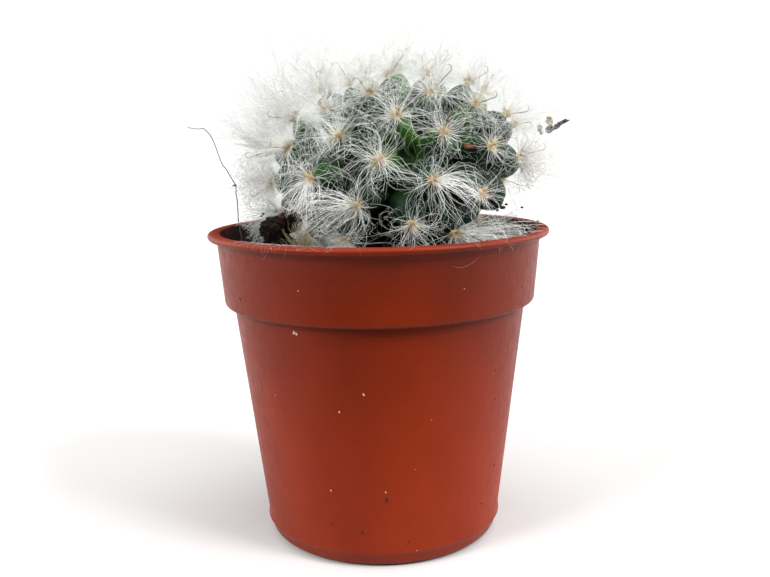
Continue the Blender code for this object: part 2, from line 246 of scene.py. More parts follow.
def wall_radius(z):
    """Inner radius of the pot at a height."""
    if z < COLLAR_FOOT_Z:
        share = z / COLLAR_FOOT_Z
        return BASE_RADIUS + share * (BODY_TOP_RADIUS - BASE_RADIUS) - POT_WALL
    share = (z - COLLAR_FOOT_Z) / (POT_HEIGHT - COLLAR_FOOT_Z)
    return COLLAR_FOOT_RADIUS + share * (COLLAR_TOP_RADIUS - COLLAR_FOOT_RADIUS) - POT_WALL


def body_radius(z):
    """Outer radius of the tapered body at a height."""
    share = (z - BASE_CORNER) / (COLLAR_FOOT_Z - BASE_CORNER)
    return BASE_RADIUS + BASE_FLARE + share * (BODY_TOP_RADIUS - BASE_RADIUS - BASE_FLARE)


def round_corner(middle, radius, first, last, count):
    """Points of an arc in the half section, between two angles in degrees."""
    angles = [math.radians(first + (last - first) * index / (count - 1)) for index in range(count)]
    return [(middle[0] + radius * math.cos(a), middle[1] + radius * math.sin(a)) for a in angles]


step_z = COLLAR_FOOT_Z + POT_WALL
lip_z = POT_HEIGHT - LIP_HEIGHT
lip_round = LIP_HEIGHT / 2
ridge_z = BASE_CORNER + RIDGE_RISE
collar_middle = (COLLAR_FOOT_RADIUS - COLLAR_ROUND, COLLAR_FOOT_Z + COLLAR_ROUND)
half_section = [
    # up the inside, where the last three points round the rim's edge
    (0.0, FLOOR_TOP_Z),
    (wall_radius(FLOOR_TOP_Z) - FLOOR_FILLET, FLOOR_TOP_Z),
    (wall_radius(FLOOR_TOP_Z), FLOOR_TOP_Z + FLOOR_FILLET),
    (BODY_TOP_RADIUS - POT_WALL, COLLAR_FOOT_Z),
    (wall_radius(step_z), step_z + POT_WALL),
    (COLLAR_TOP_RADIUS - POT_WALL, POT_HEIGHT - 0.0003),
    (COLLAR_TOP_RADIUS - POT_WALL + 0.0001, POT_HEIGHT - 0.0001),
    (COLLAR_TOP_RADIUS - POT_WALL + 0.0003, POT_HEIGHT),
    # down the outside: lip, collar, step, body, base ridge, foot ring and centre pad
    *round_corner((LIP_RADIUS - lip_round, POT_HEIGHT - lip_round), lip_round, 90, -75, 9),
    (COLLAR_TOP_RADIUS + 0.00025, lip_z + 0.0001),
    (COLLAR_TOP_RADIUS, lip_z - 0.0002),
    *round_corner(collar_middle, COLLAR_ROUND, 0, -80, 6),
    (BODY_TOP_RADIUS + 0.0003, COLLAR_FOOT_Z + 0.00005),
    (BODY_TOP_RADIUS + 0.00005, COLLAR_FOOT_Z - 0.0001),
    (body_radius(COLLAR_FOOT_Z - 0.0008), COLLAR_FOOT_Z - 0.0008),
    (body_radius(ridge_z + RIDGE_REACH), ridge_z + RIDGE_REACH),
    (body_radius(ridge_z) + BASE_RIDGE, ridge_z + RIDGE_FLAT),
    (body_radius(ridge_z) + BASE_RIDGE, ridge_z - RIDGE_FLAT),
    (body_radius(ridge_z - RIDGE_REACH), ridge_z - RIDGE_REACH),
    *round_corner((BASE_RADIUS - BASE_CORNER, BASE_CORNER), BASE_CORNER, -5, -90, 7),
    (FOOT_RING_INNER_RADIUS, 0.0),
    (FOOT_RING_INNER_RADIUS - RECESS_DRAFT, RECESS_DEPTH),
    (CENTRE_PAD_RADIUS + RECESS_DRAFT, RECESS_DEPTH),
    (CENTRE_PAD_RADIUS, 0.0),
    (0.0, 0.0),
]

bm = bmesh.new()
points = [bm.verts.new((radius, 0.0, z)) for radius, z in half_section]
profile = [bm.edges.new(pair) for pair in zip(points, points[1:])]
bmesh.ops.spin(
    bm,
    geom=points + profile,
    cent=(0.0, 0.0, 0.0),
    axis=(0.0, 0.0, 1.0),
    angle=math.tau,
    steps=POT_STEPS,
    use_merge=True,
)
bmesh.ops.remove_doubles(bm, verts=bm.verts, dist=WELD_DISTANCE)
bmesh.ops.recalc_face_normals(bm, faces=bm.faces)
pot = put_in_scene("plant_pot", bmesh_to_mesh("plant_pot", bm))

bm = bmesh.new()
for index in range(DRAIN_HOLES):
    turn = math.tau * (index + 0.5) / DRAIN_HOLES
    place = Vector((math.cos(turn), math.sin(turn), 0.0)) * DRAIN_CIRCLE_RADIUS
    bmesh.ops.create_cone(
        bm,
        cap_ends=True,
        segments=DRAIN_HOLE_STEPS,
        radius1=DRAIN_HOLE_RADIUS,
        radius2=DRAIN_HOLE_RADIUS,
        depth=4 * FLOOR_TOP_Z,
        matrix=Matrix.Translation(place),
    )
hole_cutter = put_in_scene("drain_hole_cutter", bmesh_to_mesh("drain_hole_cutter", bm))


def apply_modifiers(piece):
    """Make the evaluated mesh the piece's own."""
    bpy.context.view_layer.update()
    evaluated = piece.evaluated_get(bpy.context.evaluated_depsgraph_get())
    mesh = bpy.data.meshes.new_from_object(evaluated)
    piece.modifiers.clear()
    piece.data = mesh


def cut_out(piece, cutter):
    """Take a cutter's shape out of a piece, then remove the cutter."""
    modifier = piece.modifiers.new("cut", "BOOLEAN")
    modifier.operation = "DIFFERENCE"
    modifier.object = cutter
    modifier.solver = "EXACT"
    apply_modifiers(piece)
    bpy.data.objects.remove(cutter, do_unlink=True)


cut_out(pot, hole_cutter)
pot.data.shade_smooth()
pot.data.set_sharp_from_angle(angle=math.radians(POT_SMOOTH_ANGLE))


def new_group(name, inputs, output):
    """An empty shader group with its sockets, each (name, kind), and their inner ends."""
    group = bpy.data.node_groups.new(name, "ShaderNodeTree")
    for way, sockets in (("INPUT", inputs), ("OUTPUT", (output,))):
        for socket, kind in sockets:
            group.interface.new_socket(socket, in_out=way, socket_type="NodeSocket" + kind)
    given = group.nodes.new("NodeGroupInput").outputs
    return group, given, group.nodes.new("NodeGroupOutput").inputs[output[0]]


noise_group, given, noise_height = new_group(
    "stretched_noise",
    (("Place", "Vector"), ("Stretch", "Vector"), ("Scale", "Float"), ("Detail", "Float")),
    ("Height", "Float"),
)
mapping = noise_group.nodes.new("ShaderNodeMapping")
texture = noise_group.nodes.new("ShaderNodeTexNoise")
for source, target in (
    (given["Place"], mapping.inputs["Vector"]),
    (given["Stretch"], mapping.inputs["Scale"]),
    (mapping.outputs["Vector"], texture.inputs["Vector"]),
    (given["Scale"], texture.inputs["Scale"]),
    (given["Detail"], texture.inputs["Detail"]),
    (texture.outputs["Fac"], noise_height),
):
    noise_group.links.new(source, target)


def object_place(tree):
    """Where a point lies on the object, for a pattern that stays with it."""
    return tree.nodes.new("ShaderNodeTexCoord").outputs["Object"]


def stretched_noise(tree, scale, stretch=(1.0, 1.0, 1.0), detail=3.0):
    """Noise on the object, stretched by its own amount along each axis."""
    node = tree.nodes.new("ShaderNodeGroup")
    node.node_tree = noise_group
    names = ("Place", "Stretch", "Scale", "Detail")
    for name, value in zip(names, (object_place(tree), stretch, scale, detail)):
        feed(tree, node.inputs[name], value)
    return node.outputs["Height"]


def mix_colours(tree, share, first, second):
    """Blend two colours, each a socket or a tuple, by a value."""
    node = tree.nodes.new("ShaderNodeMix")
    node.data_type = "RGBA"
    tree.links.new(share, node.inputs["Factor"])
    for socket, colour in ((node.inputs[6], first), (node.inputs[7], second)):
        feed(tree, socket, (*colour, 1.0) if isinstance(colour, tuple) else colour)
    return node.outputs[2]


def bump(tree, shader, height, distance):
    """Raise the surface by a height map, on top of any bump that the shader already has."""
    node = tree.nodes.new("ShaderNodeBump")
    node.inputs["Distance"].default_value = distance
    if shader.inputs["Normal"].is_linked:
        tree.links.new(shader.inputs["Normal"].links[0].from_socket, node.inputs["Normal"])
    tree.links.new(height, node.inputs["Height"])
    tree.links.new(node.outputs["Normal"], shader.inputs["Normal"])


def specks(tree, spacing, size, share):
    """A mask of small round specks, each in a cell of its own, in a share of the cells."""
    cells = tree.nodes.new("ShaderNodeTexVoronoi")
    cells.inputs["Scale"].default_value = 1.0 / spacing
    tree.links.new(object_place(tree), cells.inputs["Vector"])
    near = remap(tree, cells.outputs["Distance"], size / spacing, 0.6 * size / spacing)
    chance = tree.nodes.new("ShaderNodeSeparateColor")
    tree.links.new(cells.outputs["Color"], chance.inputs["Color"])
    chosen = remap(tree, chance.outputs["Red"], share, share * 0.98)
    return calculate(tree, "MULTIPLY", near, chosen)


def mottled_material(name, dark, light, roughness, scale, share, relief=0.0, shine=0.5, **pattern):
    """Two colours that a noise blends over a share of its range, raised by it if it has relief."""
    material, tree, shader = new_material(name, dark, roughness, shine)
    patches = stretched_noise(tree, scale, **pattern)
    colour = mix_colours(tree, remap(tree, patches, *share), dark, light)
    tree.links.new(colour, shader.inputs["Base Color"])
    if relief:
        bump(tree, shader, patches, relief)
    return material


plastic, tree, shader = new_material(
    "moulded_plastic", PLASTIC_COLOUR, PLASTIC_ROUGHNESS, PLASTIC_SHINE
)
mottle = stretched_noise(tree, scale=60.0, stretch=(1.0, 1.0, 0.6))
grain = stretched_noise(tree, scale=900.0, stretch=(1.0, 1.0, 0.6), detail=4.0)
lines = stretched_noise(tree, scale=90.0, stretch=(0.3, 0.3, 26.0), detail=2.0)
dark_specks = specks(tree, spacing=0.0017, size=0.00011, share=0.20)
dust = specks(tree, spacing=0.0023, size=0.00009, share=0.16)
colour = mix_colours(tree, remap(tree, mottle, 0.35, 0.65), PLASTIC_DARK, PLASTIC_COLOUR)
colour = mix_colours(tree, dark_specks, colour, SPECK_COLOUR)
colour = mix_colours(tree, dust, colour, DUST_COLOUR)
tree.links.new(colour, shader.inputs["Base Color"])
tree.links.new(remap(tree, grain, 0.3, 0.7, 0.36, 0.50), shader.inputs["Roughness"])
bump(tree, shader, grain, distance=0.00004)
bump(tree, shader, lines, distance=0.00004)
# Painted shade: the inside of the wall near the rim gets a near-black mottle over the plastic's darker
# tone.
shaded_inner_plastic = mottled_material(
    "shaded_inner_plastic", PLASTIC_DARK, INNER_WALL_SHADE, roughness=0.75, scale=260.0,
    share=(0.30, 0.55, 0.65, 1.0), shine=0.1, stretch=(1.0, 1.0, 0.5), detail=5.0,
)
pot.data.materials.clear()
pot.data.materials.append(plastic)
pot.data.materials.append(shaded_inner_plastic)
# Inward faces high in the pot take the painted-shade material.
for face in pot.data.polygons:
    inward = face.normal.xy.dot(face.center.xy.normalized()) < -0.5
    if inward and face.center.z > INNER_SHADE_FOOT_Z:
        face.material_index = 1
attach(pot, "root")
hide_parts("pot")

# Peat: dark, fibrous potting peat that fills the pot to just under its rim, loose on top with
# crumbs of every size. The plant's neck goes down a hole in it.
SEED = 55
GAP = 0.0003
SOIL_LEVEL = 0.0455
SOIL_ROUGHNESS = 0.0006
SOIL_STEPS = 96
SOIL_RINGS = 26
CRUMB_COUNT = 620
CRUMB_RADII = (0.00025, 0.0013)
FINE_CRUMB_RADIUS = 0.0007
PEAT_COLOUR = (0.017, 0.010, 0.007)
PEAT_LIGHT = (0.055, 0.032, 0.020)
BODY_CENTRE = Vector((0.0030, 0.0015, 0.06035))
NECK_TOP_RADIUS = 0.0098
NECK_FOOT_RADIUS = 0.0068
NECK_TOP_Z = 0.0530
NECK_FOOT_Z = 0.0385
NECK_STEPS = 48

rng = random.Random(SEED)
noise.seed_set(SEED)


def crumble(place):
    """Height of the peat's bumps at a place, between about -1 and 1."""
    return noise.noise(place * 320.0) + 0.5 * noise.noise(place * 900.0)


def add_lump(bm, pose, subdivisions, roughness, scale):
    """Put a ball in a bmesh, posed by a matrix and roughened by noise."""
    lump = bmesh.ops.create_icosphere(bm, subdivisions=subdivisions, radius=1.0, matrix=pose)
    for vert in lump["verts"]:
        vert.co += (vert.co - pose.translation) * roughness * noise.noise(vert.co * scale)


def add_crumb(bm, place, radius, subdivisions=1):
    """Put a rough lump of peat in a bmesh."""
    turn = Matrix.Rotation(rng.uniform(0.0, math.tau), 4, "Z")
    size = Matrix.Diagonal((radius * rng.uniform(0.8, 1.3), radius, radius * rng.uniform(0.6, 0.9), 1.0))
    pose = Matrix.Translation(place) @ turn @ size
    add_lump(bm, pose, subdivisions, roughness=0.45, scale=2600.0)


def neck_shape(name, slack):
    """A cone the shape of the plant's neck, wider by a gap all round."""
    bm = bmesh.new()
    foot_z = NECK_FOOT_Z - slack
    bmesh.ops.create_cone(
        bm,
        cap_ends=True,
        segments=NECK_STEPS,
        radius1=NECK_FOOT_RADIUS + slack,
        radius2=NECK_TOP_RADIUS + slack,
        depth=NECK_TOP_Z - foot_z,
        matrix=Matrix.Translation((BODY_CENTRE.x, BODY_CENTRE.y, (NECK_TOP_Z + foot_z) / 2)),
    )
    return put_in_scene(name, bmesh_to_mesh(name, bm))


bm = bmesh.new()
floor_z = FLOOR_TOP_Z + GAP
waist_z = COLLAR_FOOT_Z - GAP
bmesh.ops.create_cone(
    bm,
    cap_ends=True,
    segments=SOIL_STEPS,
    radius1=wall_radius(floor_z) - BASE_CORNER / 2 - GAP,
    radius2=BODY_TOP_RADIUS - POT_WALL - GAP,
    depth=waist_z - floor_z,
    matrix=Matrix.Translation((0.0, 0.0, (floor_z + waist_z) / 2)),
)
top = max(bm.faces, key=lambda face: face.calc_center_median().z)
raised = bmesh.ops.extrude_discrete_faces(bm, faces=[top])["faces"][0]
bmesh.ops.translate(bm, vec=(0.0, 0.0, SOIL_LEVEL - waist_z), verts=raised.verts)
soil_radius = wall_radius(SOIL_LEVEL) - 2 * GAP
for vert in raised.verts:
    vert.co.xy *= soil_radius / vert.co.xy.length
for _ in range(SOIL_RINGS):
    bmesh.ops.inset_region(bm, faces=[raised], thickness=soil_radius / (SOIL_RINGS + 0.5))
for vert in bm.verts:
    if vert.co.z > SOIL_LEVEL - GAP:
        vert.co.z += SOIL_ROUGHNESS * (crumble(vert.co) + 0.6 * noise.noise(vert.co * 2200.0))
peat = put_in_scene("peat", bmesh_to_mesh("peat", bm))
cut_out(peat, neck_shape("neck_hole_cutter", 1.2 * GAP))

bm = bmesh.new()
bm.from_mesh(peat.data)
neck_mouth = NECK_FOOT_RADIUS + (NECK_TOP_RADIUS - NECK_FOOT_RADIUS) * (
    (SOIL_LEVEL - NECK_FOOT_Z) / (NECK_TOP_Z - NECK_FOOT_Z)
)
for _ in range(CRUMB_COUNT):
    turn = rng.uniform(0.0, math.tau)
    reach = math.sqrt(rng.uniform(0.08, 1.0)) * (soil_radius - 0.0008)
    radius = CRUMB_RADII[0] + (CRUMB_RADII[1] - CRUMB_RADII[0]) * rng.random() ** 3
    place = Vector((reach * math.cos(turn), reach * math.sin(turn), 0.0))
    bumps = SOIL_ROUGHNESS * crumble(Vector((place.x, place.y, SOIL_LEVEL)))
    place.z = SOIL_LEVEL + bumps + radius / 4
    if (place.xy - BODY_CENTRE.xy).length < neck_mouth + 2 * GAP + radius:
        continue
    if reach + 1.4 * radius > soil_radius + GAP:
        continue
    add_crumb(bm, place, radius, 2 if radius > FINE_CRUMB_RADIUS else 1)
peat.data = bmesh_to_mesh("peat", bm, 35)

peat_material = mottled_material(
    "potting_peat", PEAT_COLOUR, PEAT_LIGHT, roughness=0.95, scale=420.0, share=(0.42, 0.72),
    shine=0.25, detail=6.0,
)
tree = peat_material.node_tree
fine = stretched_noise(tree, scale=2200.0, detail=5.0)
bump(tree, tree.nodes["Principled BSDF"], fine, distance=0.00018)
peat.data.materials.clear()
peat.data.materials.append(peat_material)
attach(peat, "root")
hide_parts("soil")

# Peat clump: a crumbly red-brown lump of the plug that the seedling was raised in, stood up
# against the plant at the left front.
CLUMP_LUMPS = (
    # place, radius, half height
    (Vector((-0.0153, -0.0146, 0.0516)), 0.0020, 0.0019),
    (Vector((-0.0130, -0.0149, 0.0529)), 0.0015, 0.0014),
    (Vector((-0.0144, -0.0143, 0.0478)), 0.0024, 0.0034),
)
CLUMP_ROUGHNESS = 0.30
CLUMP_CRUMBS = 520
CLUMP_SPREAD = 0.0065
CLUMP_CRUMB_RADII = (0.00016, 0.00048)
CLUMP_SIDES = (-0.0174, -0.0116)
CLUMP_BACK_Y = -0.0110
CLUMP_HEIGHTS = (0.0500, 0.0542)
CLUMP_COLOUR = (0.0060, 0.0032, 0.0024)
CLUMP_LIGHT = (0.052, 0.023, 0.013)

bm = bmesh.new()
for place, radius, half_height in CLUMP_LUMPS:
    pose = Matrix.Translation(place) @ Matrix.Diagonal((radius, radius, half_height, 1.0))
    surface = bmesh.ops.create_icosphere(bm, subdivisions=4, radius=1.0, matrix=pose)["verts"]
    for vert in surface:
        vert.co += (vert.co - place) * CLUMP_ROUGHNESS * crumble(vert.co * 2.2)
    crumb_count = int(CLUMP_CRUMBS * radius / CLUMP_SPREAD)
    spots = [vert.co.copy() for vert in rng.sample(surface, crumb_count)]
    for spot in spots:
        if spot.z > SOIL_LEVEL:
            add_crumb(bm, spot, rng.uniform(*CLUMP_CRUMB_RADII))
material = mottled_material(
    "plug_peat", CLUMP_COLOUR, CLUMP_LIGHT, roughness=0.9, scale=900.0, share=(0.50, 0.74),
    relief=0.00015, shine=0.15, detail=6.0,
)
clump = finished_piece("peat_clump", bm, 35, material)
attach(clump, "root")

# Cactus body: soft, waxy, dark green flesh, a low dome of blunt tubercles set in spirals, each
# one divergence angle round from the one before it, on a short neck that goes into the peat.
BODY_RADIUS = 0.0204
BODY_HALF_HEIGHT = 0.0144
BODY_LEAN = Matrix.Rotation(math.radians(12.7), 3, "X") @ Matrix.Rotation(math.radians(-6.4), 3, "Y")
FIRST_TURN = math.radians(285.3)
DIVERGENCE = math.radians(137.63)
CELL_AREA = 59.2e-6
CROWN_CROWDING = 0.475
CROWDING_REACH = 0.45
POLAR_STEP = 0.001
LAST_POLAR = 2.6
LOWEST_TIP_Z = 0.0484
TUBERCLE_HALF_LENGTH = 0.0042
TUBERCLE_WIDTH_SHARE = 0.37
VALLEY_DEPTH = 0.0055
SKIN_VOXEL = 0.00042
SKIN_SMOOTHING = 6
TIP_REACH = 1.6
# The darkest skin colour is painted shade, for the valleys between the tubercles.
SKIN_VALLEY_SHADE = (0.0010, 0.006, 0.0035)
SKIN_MID = (0.0045, 0.024, 0.010)
SKIN_LIGHT = (0.050, 0.150, 0.008)
SKIN_SHINE = 0.14
YOUNG_SKIN_Z = (0.055, 0.068)


def areoles():
    """Tubercle tips from the crown down, as (tip, outward normal, width of the space round it)."""
    found = []
    polar = 0.0
    filled = 0.0
    size = Vector((BODY_RADIUS, BODY_RADIUS, BODY_HALF_HEIGHT))
    while polar < LAST_POLAR:
        stretch = math.hypot(BODY_RADIUS * math.cos(polar), BODY_HALF_HEIGHT * math.sin(polar))
        cell = CELL_AREA * (1.0 - CROWN_CROWDING * math.exp(-polar / CROWDING_REACH))
        filled += math.tau * BODY_RADIUS * math.sin(polar) * stretch * POLAR_STEP / cell
        polar += POLAR_STEP
        if filled < len(found) + 0.5:
            continue
        turn = FIRST_TURN + DIVERGENCE * len(found)
        flat = math.sin(polar)
        out = Vector((flat * math.cos(turn), flat * math.sin(turn), math.cos(polar)))
        tip = BODY_CENTRE + BODY_LEAN @ (out * size)
        normal = BODY_LEAN @ Vector(o / s for o, s in zip(out, size))
        found.append((tip, normal.normalized(), math.sqrt(cell)))
    return [areole for areole in found if areole[0].z > LOWEST_TIP_Z]


def standing_on(place, normal):
    """Matrix that takes +Z to a normal and the origin to a place."""
    return Matrix.Translation(place) @ normal.to_track_quat("Z", "Y").to_matrix().to_4x4()


tubercles = areoles()
bm = bmesh.new()
core = Vector((BODY_RADIUS, BODY_RADIUS, BODY_HALF_HEIGHT)) - Vector.Fill(3, VALLEY_DEPTH)
shape = Matrix.Translation(BODY_CENTRE) @ BODY_LEAN.to_4x4() @ Matrix.Diagonal((*core, 1.0))
bmesh.ops.create_icosphere(bm, subdivisions=5, radius=1.0, matrix=shape)
for tip, normal, space in tubercles:
    width = space * TUBERCLE_WIDTH_SHARE
    size = Matrix.Diagonal((width, width, TUBERCLE_HALF_LENGTH, 1.0))
    seat = standing_on(tip - normal * TUBERCLE_HALF_LENGTH, normal)
    bmesh.ops.create_icosphere(bm, subdivisions=4, radius=1.0, matrix=seat @ size)
neck = neck_shape("neck", 0.0)
bm.from_mesh(neck.data)
bpy.data.objects.remove(neck, do_unlink=True)
body = put_in_scene("cactus_body", bmesh_to_mesh("cactus_body", bm))
remesh = body.modifiers.new("one_skin", "REMESH")
remesh.mode = "VOXEL"
remesh.voxel_size = SKIN_VOXEL
remesh.use_smooth_shade = True
smooth = body.modifiers.new("soft_valleys", "SMOOTH")
smooth.factor = 0.5
smooth.iterations = SKIN_SMOOTHING
apply_modifiers(body)
tips = np.array([tip for tip, _, _ in tubercles])
skin = np.empty(len(body.data.vertices) * 3)
body.data.vertices.foreach_get("co", skin)
tip_distance = np.min(np.linalg.norm(skin.reshape(-1, 1, 3) - tips[None], axis=2), axis=1)
nearness = 1.0 - tip_distance / (TIP_REACH * TUBERCLE_HALF_LENGTH)
height = body.data.attributes.new("tip_share", "FLOAT", "POINT")
height.data.foreach_set("value", np.clip(nearness, 0.0, 1.0))

material, tree, shader = new_material("waxy_skin", SKIN_MID, roughness=0.42, shine=SKIN_SHINE)
tip_share = tree.nodes.new("ShaderNodeAttribute")
tip_share.attribute_name = "tip_share"
# Painted shade: the skin darkens away from the tubercle tips, down into the valleys between them.
depth = remap(tree, tip_share.outputs["Fac"], 0.05, 0.75)
colour = mix_colours(tree, depth, SKIN_VALLEY_SHADE, SKIN_MID)
patches = stretched_noise(tree, scale=120.0)
split = tree.nodes.new("ShaderNodeSeparateXYZ")
tree.links.new(object_place(tree), split.inputs["Vector"])
high_up = remap(tree, split.outputs["Z"], *YOUNG_SKIN_Z)
young = calculate(tree, "MULTIPLY", remap(tree, patches, 0.44, 0.68), high_up)
colour = mix_colours(tree, young, colour, SKIN_LIGHT)
tree.links.new(colour, shader.inputs["Base Color"])
pores = stretched_noise(tree, scale=3000.0, detail=2.0)
tree.links.new(remap(tree, pores, 0.3, 0.7, 0.36, 0.52), shader.inputs["Roughness"])
bump(tree, shader, pores, distance=0.00003)
body.data.materials.clear()
body.data.materials.append(material)
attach(body, "root")
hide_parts("stem")

# Areoles: a small felted cushion on each tubercle's tip, cream to tan. Two low ones at the right
# are bare.
AREOLE_RADIUS = 0.00058
AREOLE_FLATNESS = 0.7
AREOLE_LIFT = 0.00022
FELT_CREAM = (0.90, 0.76, 0.47)
FELT_TAN = (0.76, 0.46, 0.19)
BARE_AREOLES = (50, 58)

woolly = [(index, *areole) for index, areole in enumerate(tubercles) if index not in BARE_AREOLES]
bm = bmesh.new()
for index, tip, normal, space in woolly:
    middle = tip + normal * AREOLE_LIFT
    size = Matrix.Diagonal((AREOLE_RADIUS, AREOLE_RADIUS, AREOLE_FLATNESS * AREOLE_RADIUS, 1.0))
    pose = standing_on(middle, normal) @ size
    pad = bmesh.ops.create_uvsphere(bm, u_segments=8, v_segments=5, radius=1.0, matrix=pose)
    for vert in pad["verts"]:
        vert.co += (vert.co - middle) * 0.5 * noise.noise(vert.co * 3500.0)
material = mottled_material(
    "areole_felt", FELT_TAN, FELT_CREAM, roughness=0.95, scale=1500.0, share=(0.35, 0.6),
    relief=0.0002, detail=4.0,
)
felt = finished_piece("areole_felt", bm, 60, material)
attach(felt, "root")

# Hair: every areole bursts with long, silky, white radial hairs, tan where they leave the felt.
# They lie over the neighbouring tubercles, curl and catch in combed locks. Finer wool fills the
# valleys, and loose hairs stand off the plant as a halo.
# Some hairs are painted grey as shade, more of them on the left flank.
HAIR_POINTS = 8
HAIR_CLEARANCE = 0.00010
HAIR_RISE = (9.0, 78.0, 1.35)
HAIR_LAY = 0.10
HAIR_RADII = (0.000008, 0.000031)
FINE_SHARE = 1.5
HAIR_LENGTHS = (0.0068, 0.0122)
HAIRS_PER_AREA = 2.9e6
BACK_FACE = 0.35
BACK_DENSITY = 0.75
HAIR_CURLS = (1.5, 10.0)
CURL_START = 0.45
SWAY_RATES = (2.0, 9.0)
HAIR_HOLDS = (0.50, 0.82)
COMB_START = 1.3
HAIRS_A_LEADER = 7
LOCK_CURLS = (1.0, 3.0)
LOCK_RADII = (0.000020, 0.000034)
LOCK_LEADERS = 5
LOCK_TINTS = (0.02, 0.45)
AXIL_RISE = (-25.0, 30.0, 1.0)
AXIL_LENGTHS = (0.0030, 0.0085)
AXIL_PULL = 1.6
AXIL_CURL = 9.0
HALO_POINTS = 12
HALO_RISE = (12.0, 88.0, 0.8)
HALO_CURLS = (2.0, 14.0)
HALO_LENGTHS = (0.0050, 0.0160)
HALO_RADII = (0.000009, 0.000019)
HALO_HOLD = 0.35
CROWN_Z = 0.066
CROWN_DRIFT = (-0.25, 0.3, 0.8)
SIDE_DRIFT = (-0.25, 0.0, 0.1)
CROWN_TINTS = (0.02, 0.48)
FLANK_X = -0.006
FLANK_Z = 0.061
FLANK_FACE = -0.75
FLANK_DRIFT = (-0.5, 0.2, 0.7)
FLANK_CURL = 0.7
# The left flank's hairs draw higher tints, so more of them are painted in shade.
FLANK_TINTS = (0.40, 0.98)
ALL_TINTS = (0.02, 0.98)
FRONT_FACE = -0.35
FRONT_Z = 0.055
FRONT_SAG = 1.3
OTHER_SAG = 0.5
ROOM_MARGIN = 0.027
LEAST_SHARE = 0.3
RIM_SHADE_REACH = 0.0215
RIM_SHADE_Z = 0.0508
HAIR_TIP_SHARE = 0.45
HAIR_SIDES = 3
HAIR_WELD = 0.0000005
ROOT_RING = 0.00042
MOST_HAIRS_A_PIECE = 3900
HAIR_TAN = (0.76, 0.50, 0.22)
HAIR_CREAM = (0.88, 0.77, 0.52)
HAIR_WHITE = (0.96, 0.97, 0.94)
# The grey colours are painted shade, for hairs that lie in shade.
HAIR_SHADED_GREY = (0.42, 0.48, 0.44)
HALO_WHITE = (0.96, 0.94, 0.91)
HALO_SHADED_GREY = (0.16, 0.145, 0.13)
SHADED_SHARE = 0.8
DENSITY = {
    # areole: how much hair for its size, where it isn't the usual share
    64: 0.12, 60: 0.3, 29: 0.22, 37: 0.35, 42: 0.22, 50: 0.04, 58: 0.04, 24: 0.32, 45: 0.4,
    16: 0.32, 21: 0.42, 26: 0.75, 13: 0.85, 47: 0.55, 53: 0.5, 34: 0.5, 62: 0.15, 55: 0.25,
    32: 0.3, 19: 0.5, 11: 0.7, 3: 1.2, 6: 0.9, 14: 0.5, 9: 0.6, 22: 0.5, 1: 1.2, 4: 1.2, 0: 1.3,
    5: 1.3, 8: 0.65, 17: 0.5, 28: 0.7, 33: 0.5, 41: 0.7, 49: 0.7, 36: 0.7, 20: 0.7, 15: 0.6,
    31: 0.65, 39: 0.7, 46: 0.5, 54: 0.5, 38: 0.5,
}
AXIL_HAIRS = {
    28: 60, 36: 45, 41: 60, 49: 50, 15: 50, 20: 50, 12: 40, 7: 40, 2: 30, 4: 30, 1: 30, 33: 40,
    8: 45, 11: 45, 16: 45, 24: 35, 3: 45, 6: 35, 5: 40, 29: 35, 21: 35, 32: 30,
}
HALO_HAIRS = {
    15: 220, 20: 210, 28: 240, 33: 130, 41: 210, 36: 130, 23: 30, 12: 170, 7: 120, 2: 95, 4: 95,
    1: 80, 6: 95, 9: 60, 14: 65, 17: 50, 25: 80, 19: 60, 11: 70, 3: 95, 49: 110, 44: 30, 0: 60,
    10: 35, 8: 75, 5: 60, 16: 60, 24: 50,
}
SWEEPS = {
    # areole: way that its hair is combed, how strongly
    31: ((-0.60, -0.10, -0.80), 3.4),
    39: ((-1.00, -0.10, -0.15), 3.4),
    34: ((0.85, -0.10, -0.50), 2.0),
    55: ((1.00, -0.20, 0.05), 3.0),
    62: ((1.00, -0.20, 0.15), 2.4),
    26: ((0.05, -0.10, -1.00), 1.2),
    23: ((-0.30, -0.10, -0.90), 0.9),
    36: ((0.30, -0.20, -0.90), 1.2),
}
LOCKS = (
    # areole, hairs, way at the root, pull further on, length, spread, hold
    (15, 120, (0.74, -0.78, 0.02), (0.5, 0.3, -1.5), 0.0130, 0.12, 0.75),
    (31, 45, (-0.40, -0.60, -0.60), (-0.6, -0.2, -1.6), 0.0100, 0.28, 0.45),
    (39, 45, (-0.80, -0.60, 0.05), (-1.2, 0.3, -1.3), 0.0105, 0.28, 0.45),
    (34, 50, (0.75, -0.60, 0.00), (0.7, 0.3, -1.7), 0.0095, 0.30, 0.45),
    (55, 45, (0.90, -0.60, 0.20), (1.2, 0.4, -0.4), 0.0132, 0.26, 0.50),
    (62, 60, (0.90, -0.60, 0.30), (1.2, 0.0, -0.4), 0.0125, 0.26, 0.50),
    (57, 65, (-0.90, -0.70, 0.10), (-0.8, 0.1, -0.3), 0.0080, 0.30, 0.30),
    (49, 60, (-0.80, -0.70, -0.10), (-0.6, -0.1, -1.5), 0.0085, 0.30, 0.25),
    (44, 30, (-0.90, -0.50, -0.20), (-0.9, 0.1, -0.9), 0.0080, 0.30, 0.25),
    (28, 25, (-0.60, -0.60, -0.30), (-0.2, -0.2, -1.4), 0.0095, 0.28, 0.35),
    (23, 25, (-0.70, -0.60, -0.20), (-1.4, 0.2, -0.6), 0.0095, 0.28, 0.35),
)

hair_rng = np.random.default_rng(SEED)


def points_and_faces(pieces):
    """All the corners and faces of several meshes in one list each."""
    corners = []
    faces = []
    for piece in pieces:
        first = len(corners)
        corners += [vert.co.copy() for vert in piece.data.vertices]
        faces += [[first + corner for corner in face.vertices] for face in piece.data.polygons]
    return corners, faces


obstacles = BVHTree.FromPolygons(*points_and_faces((body, clump, peat)))


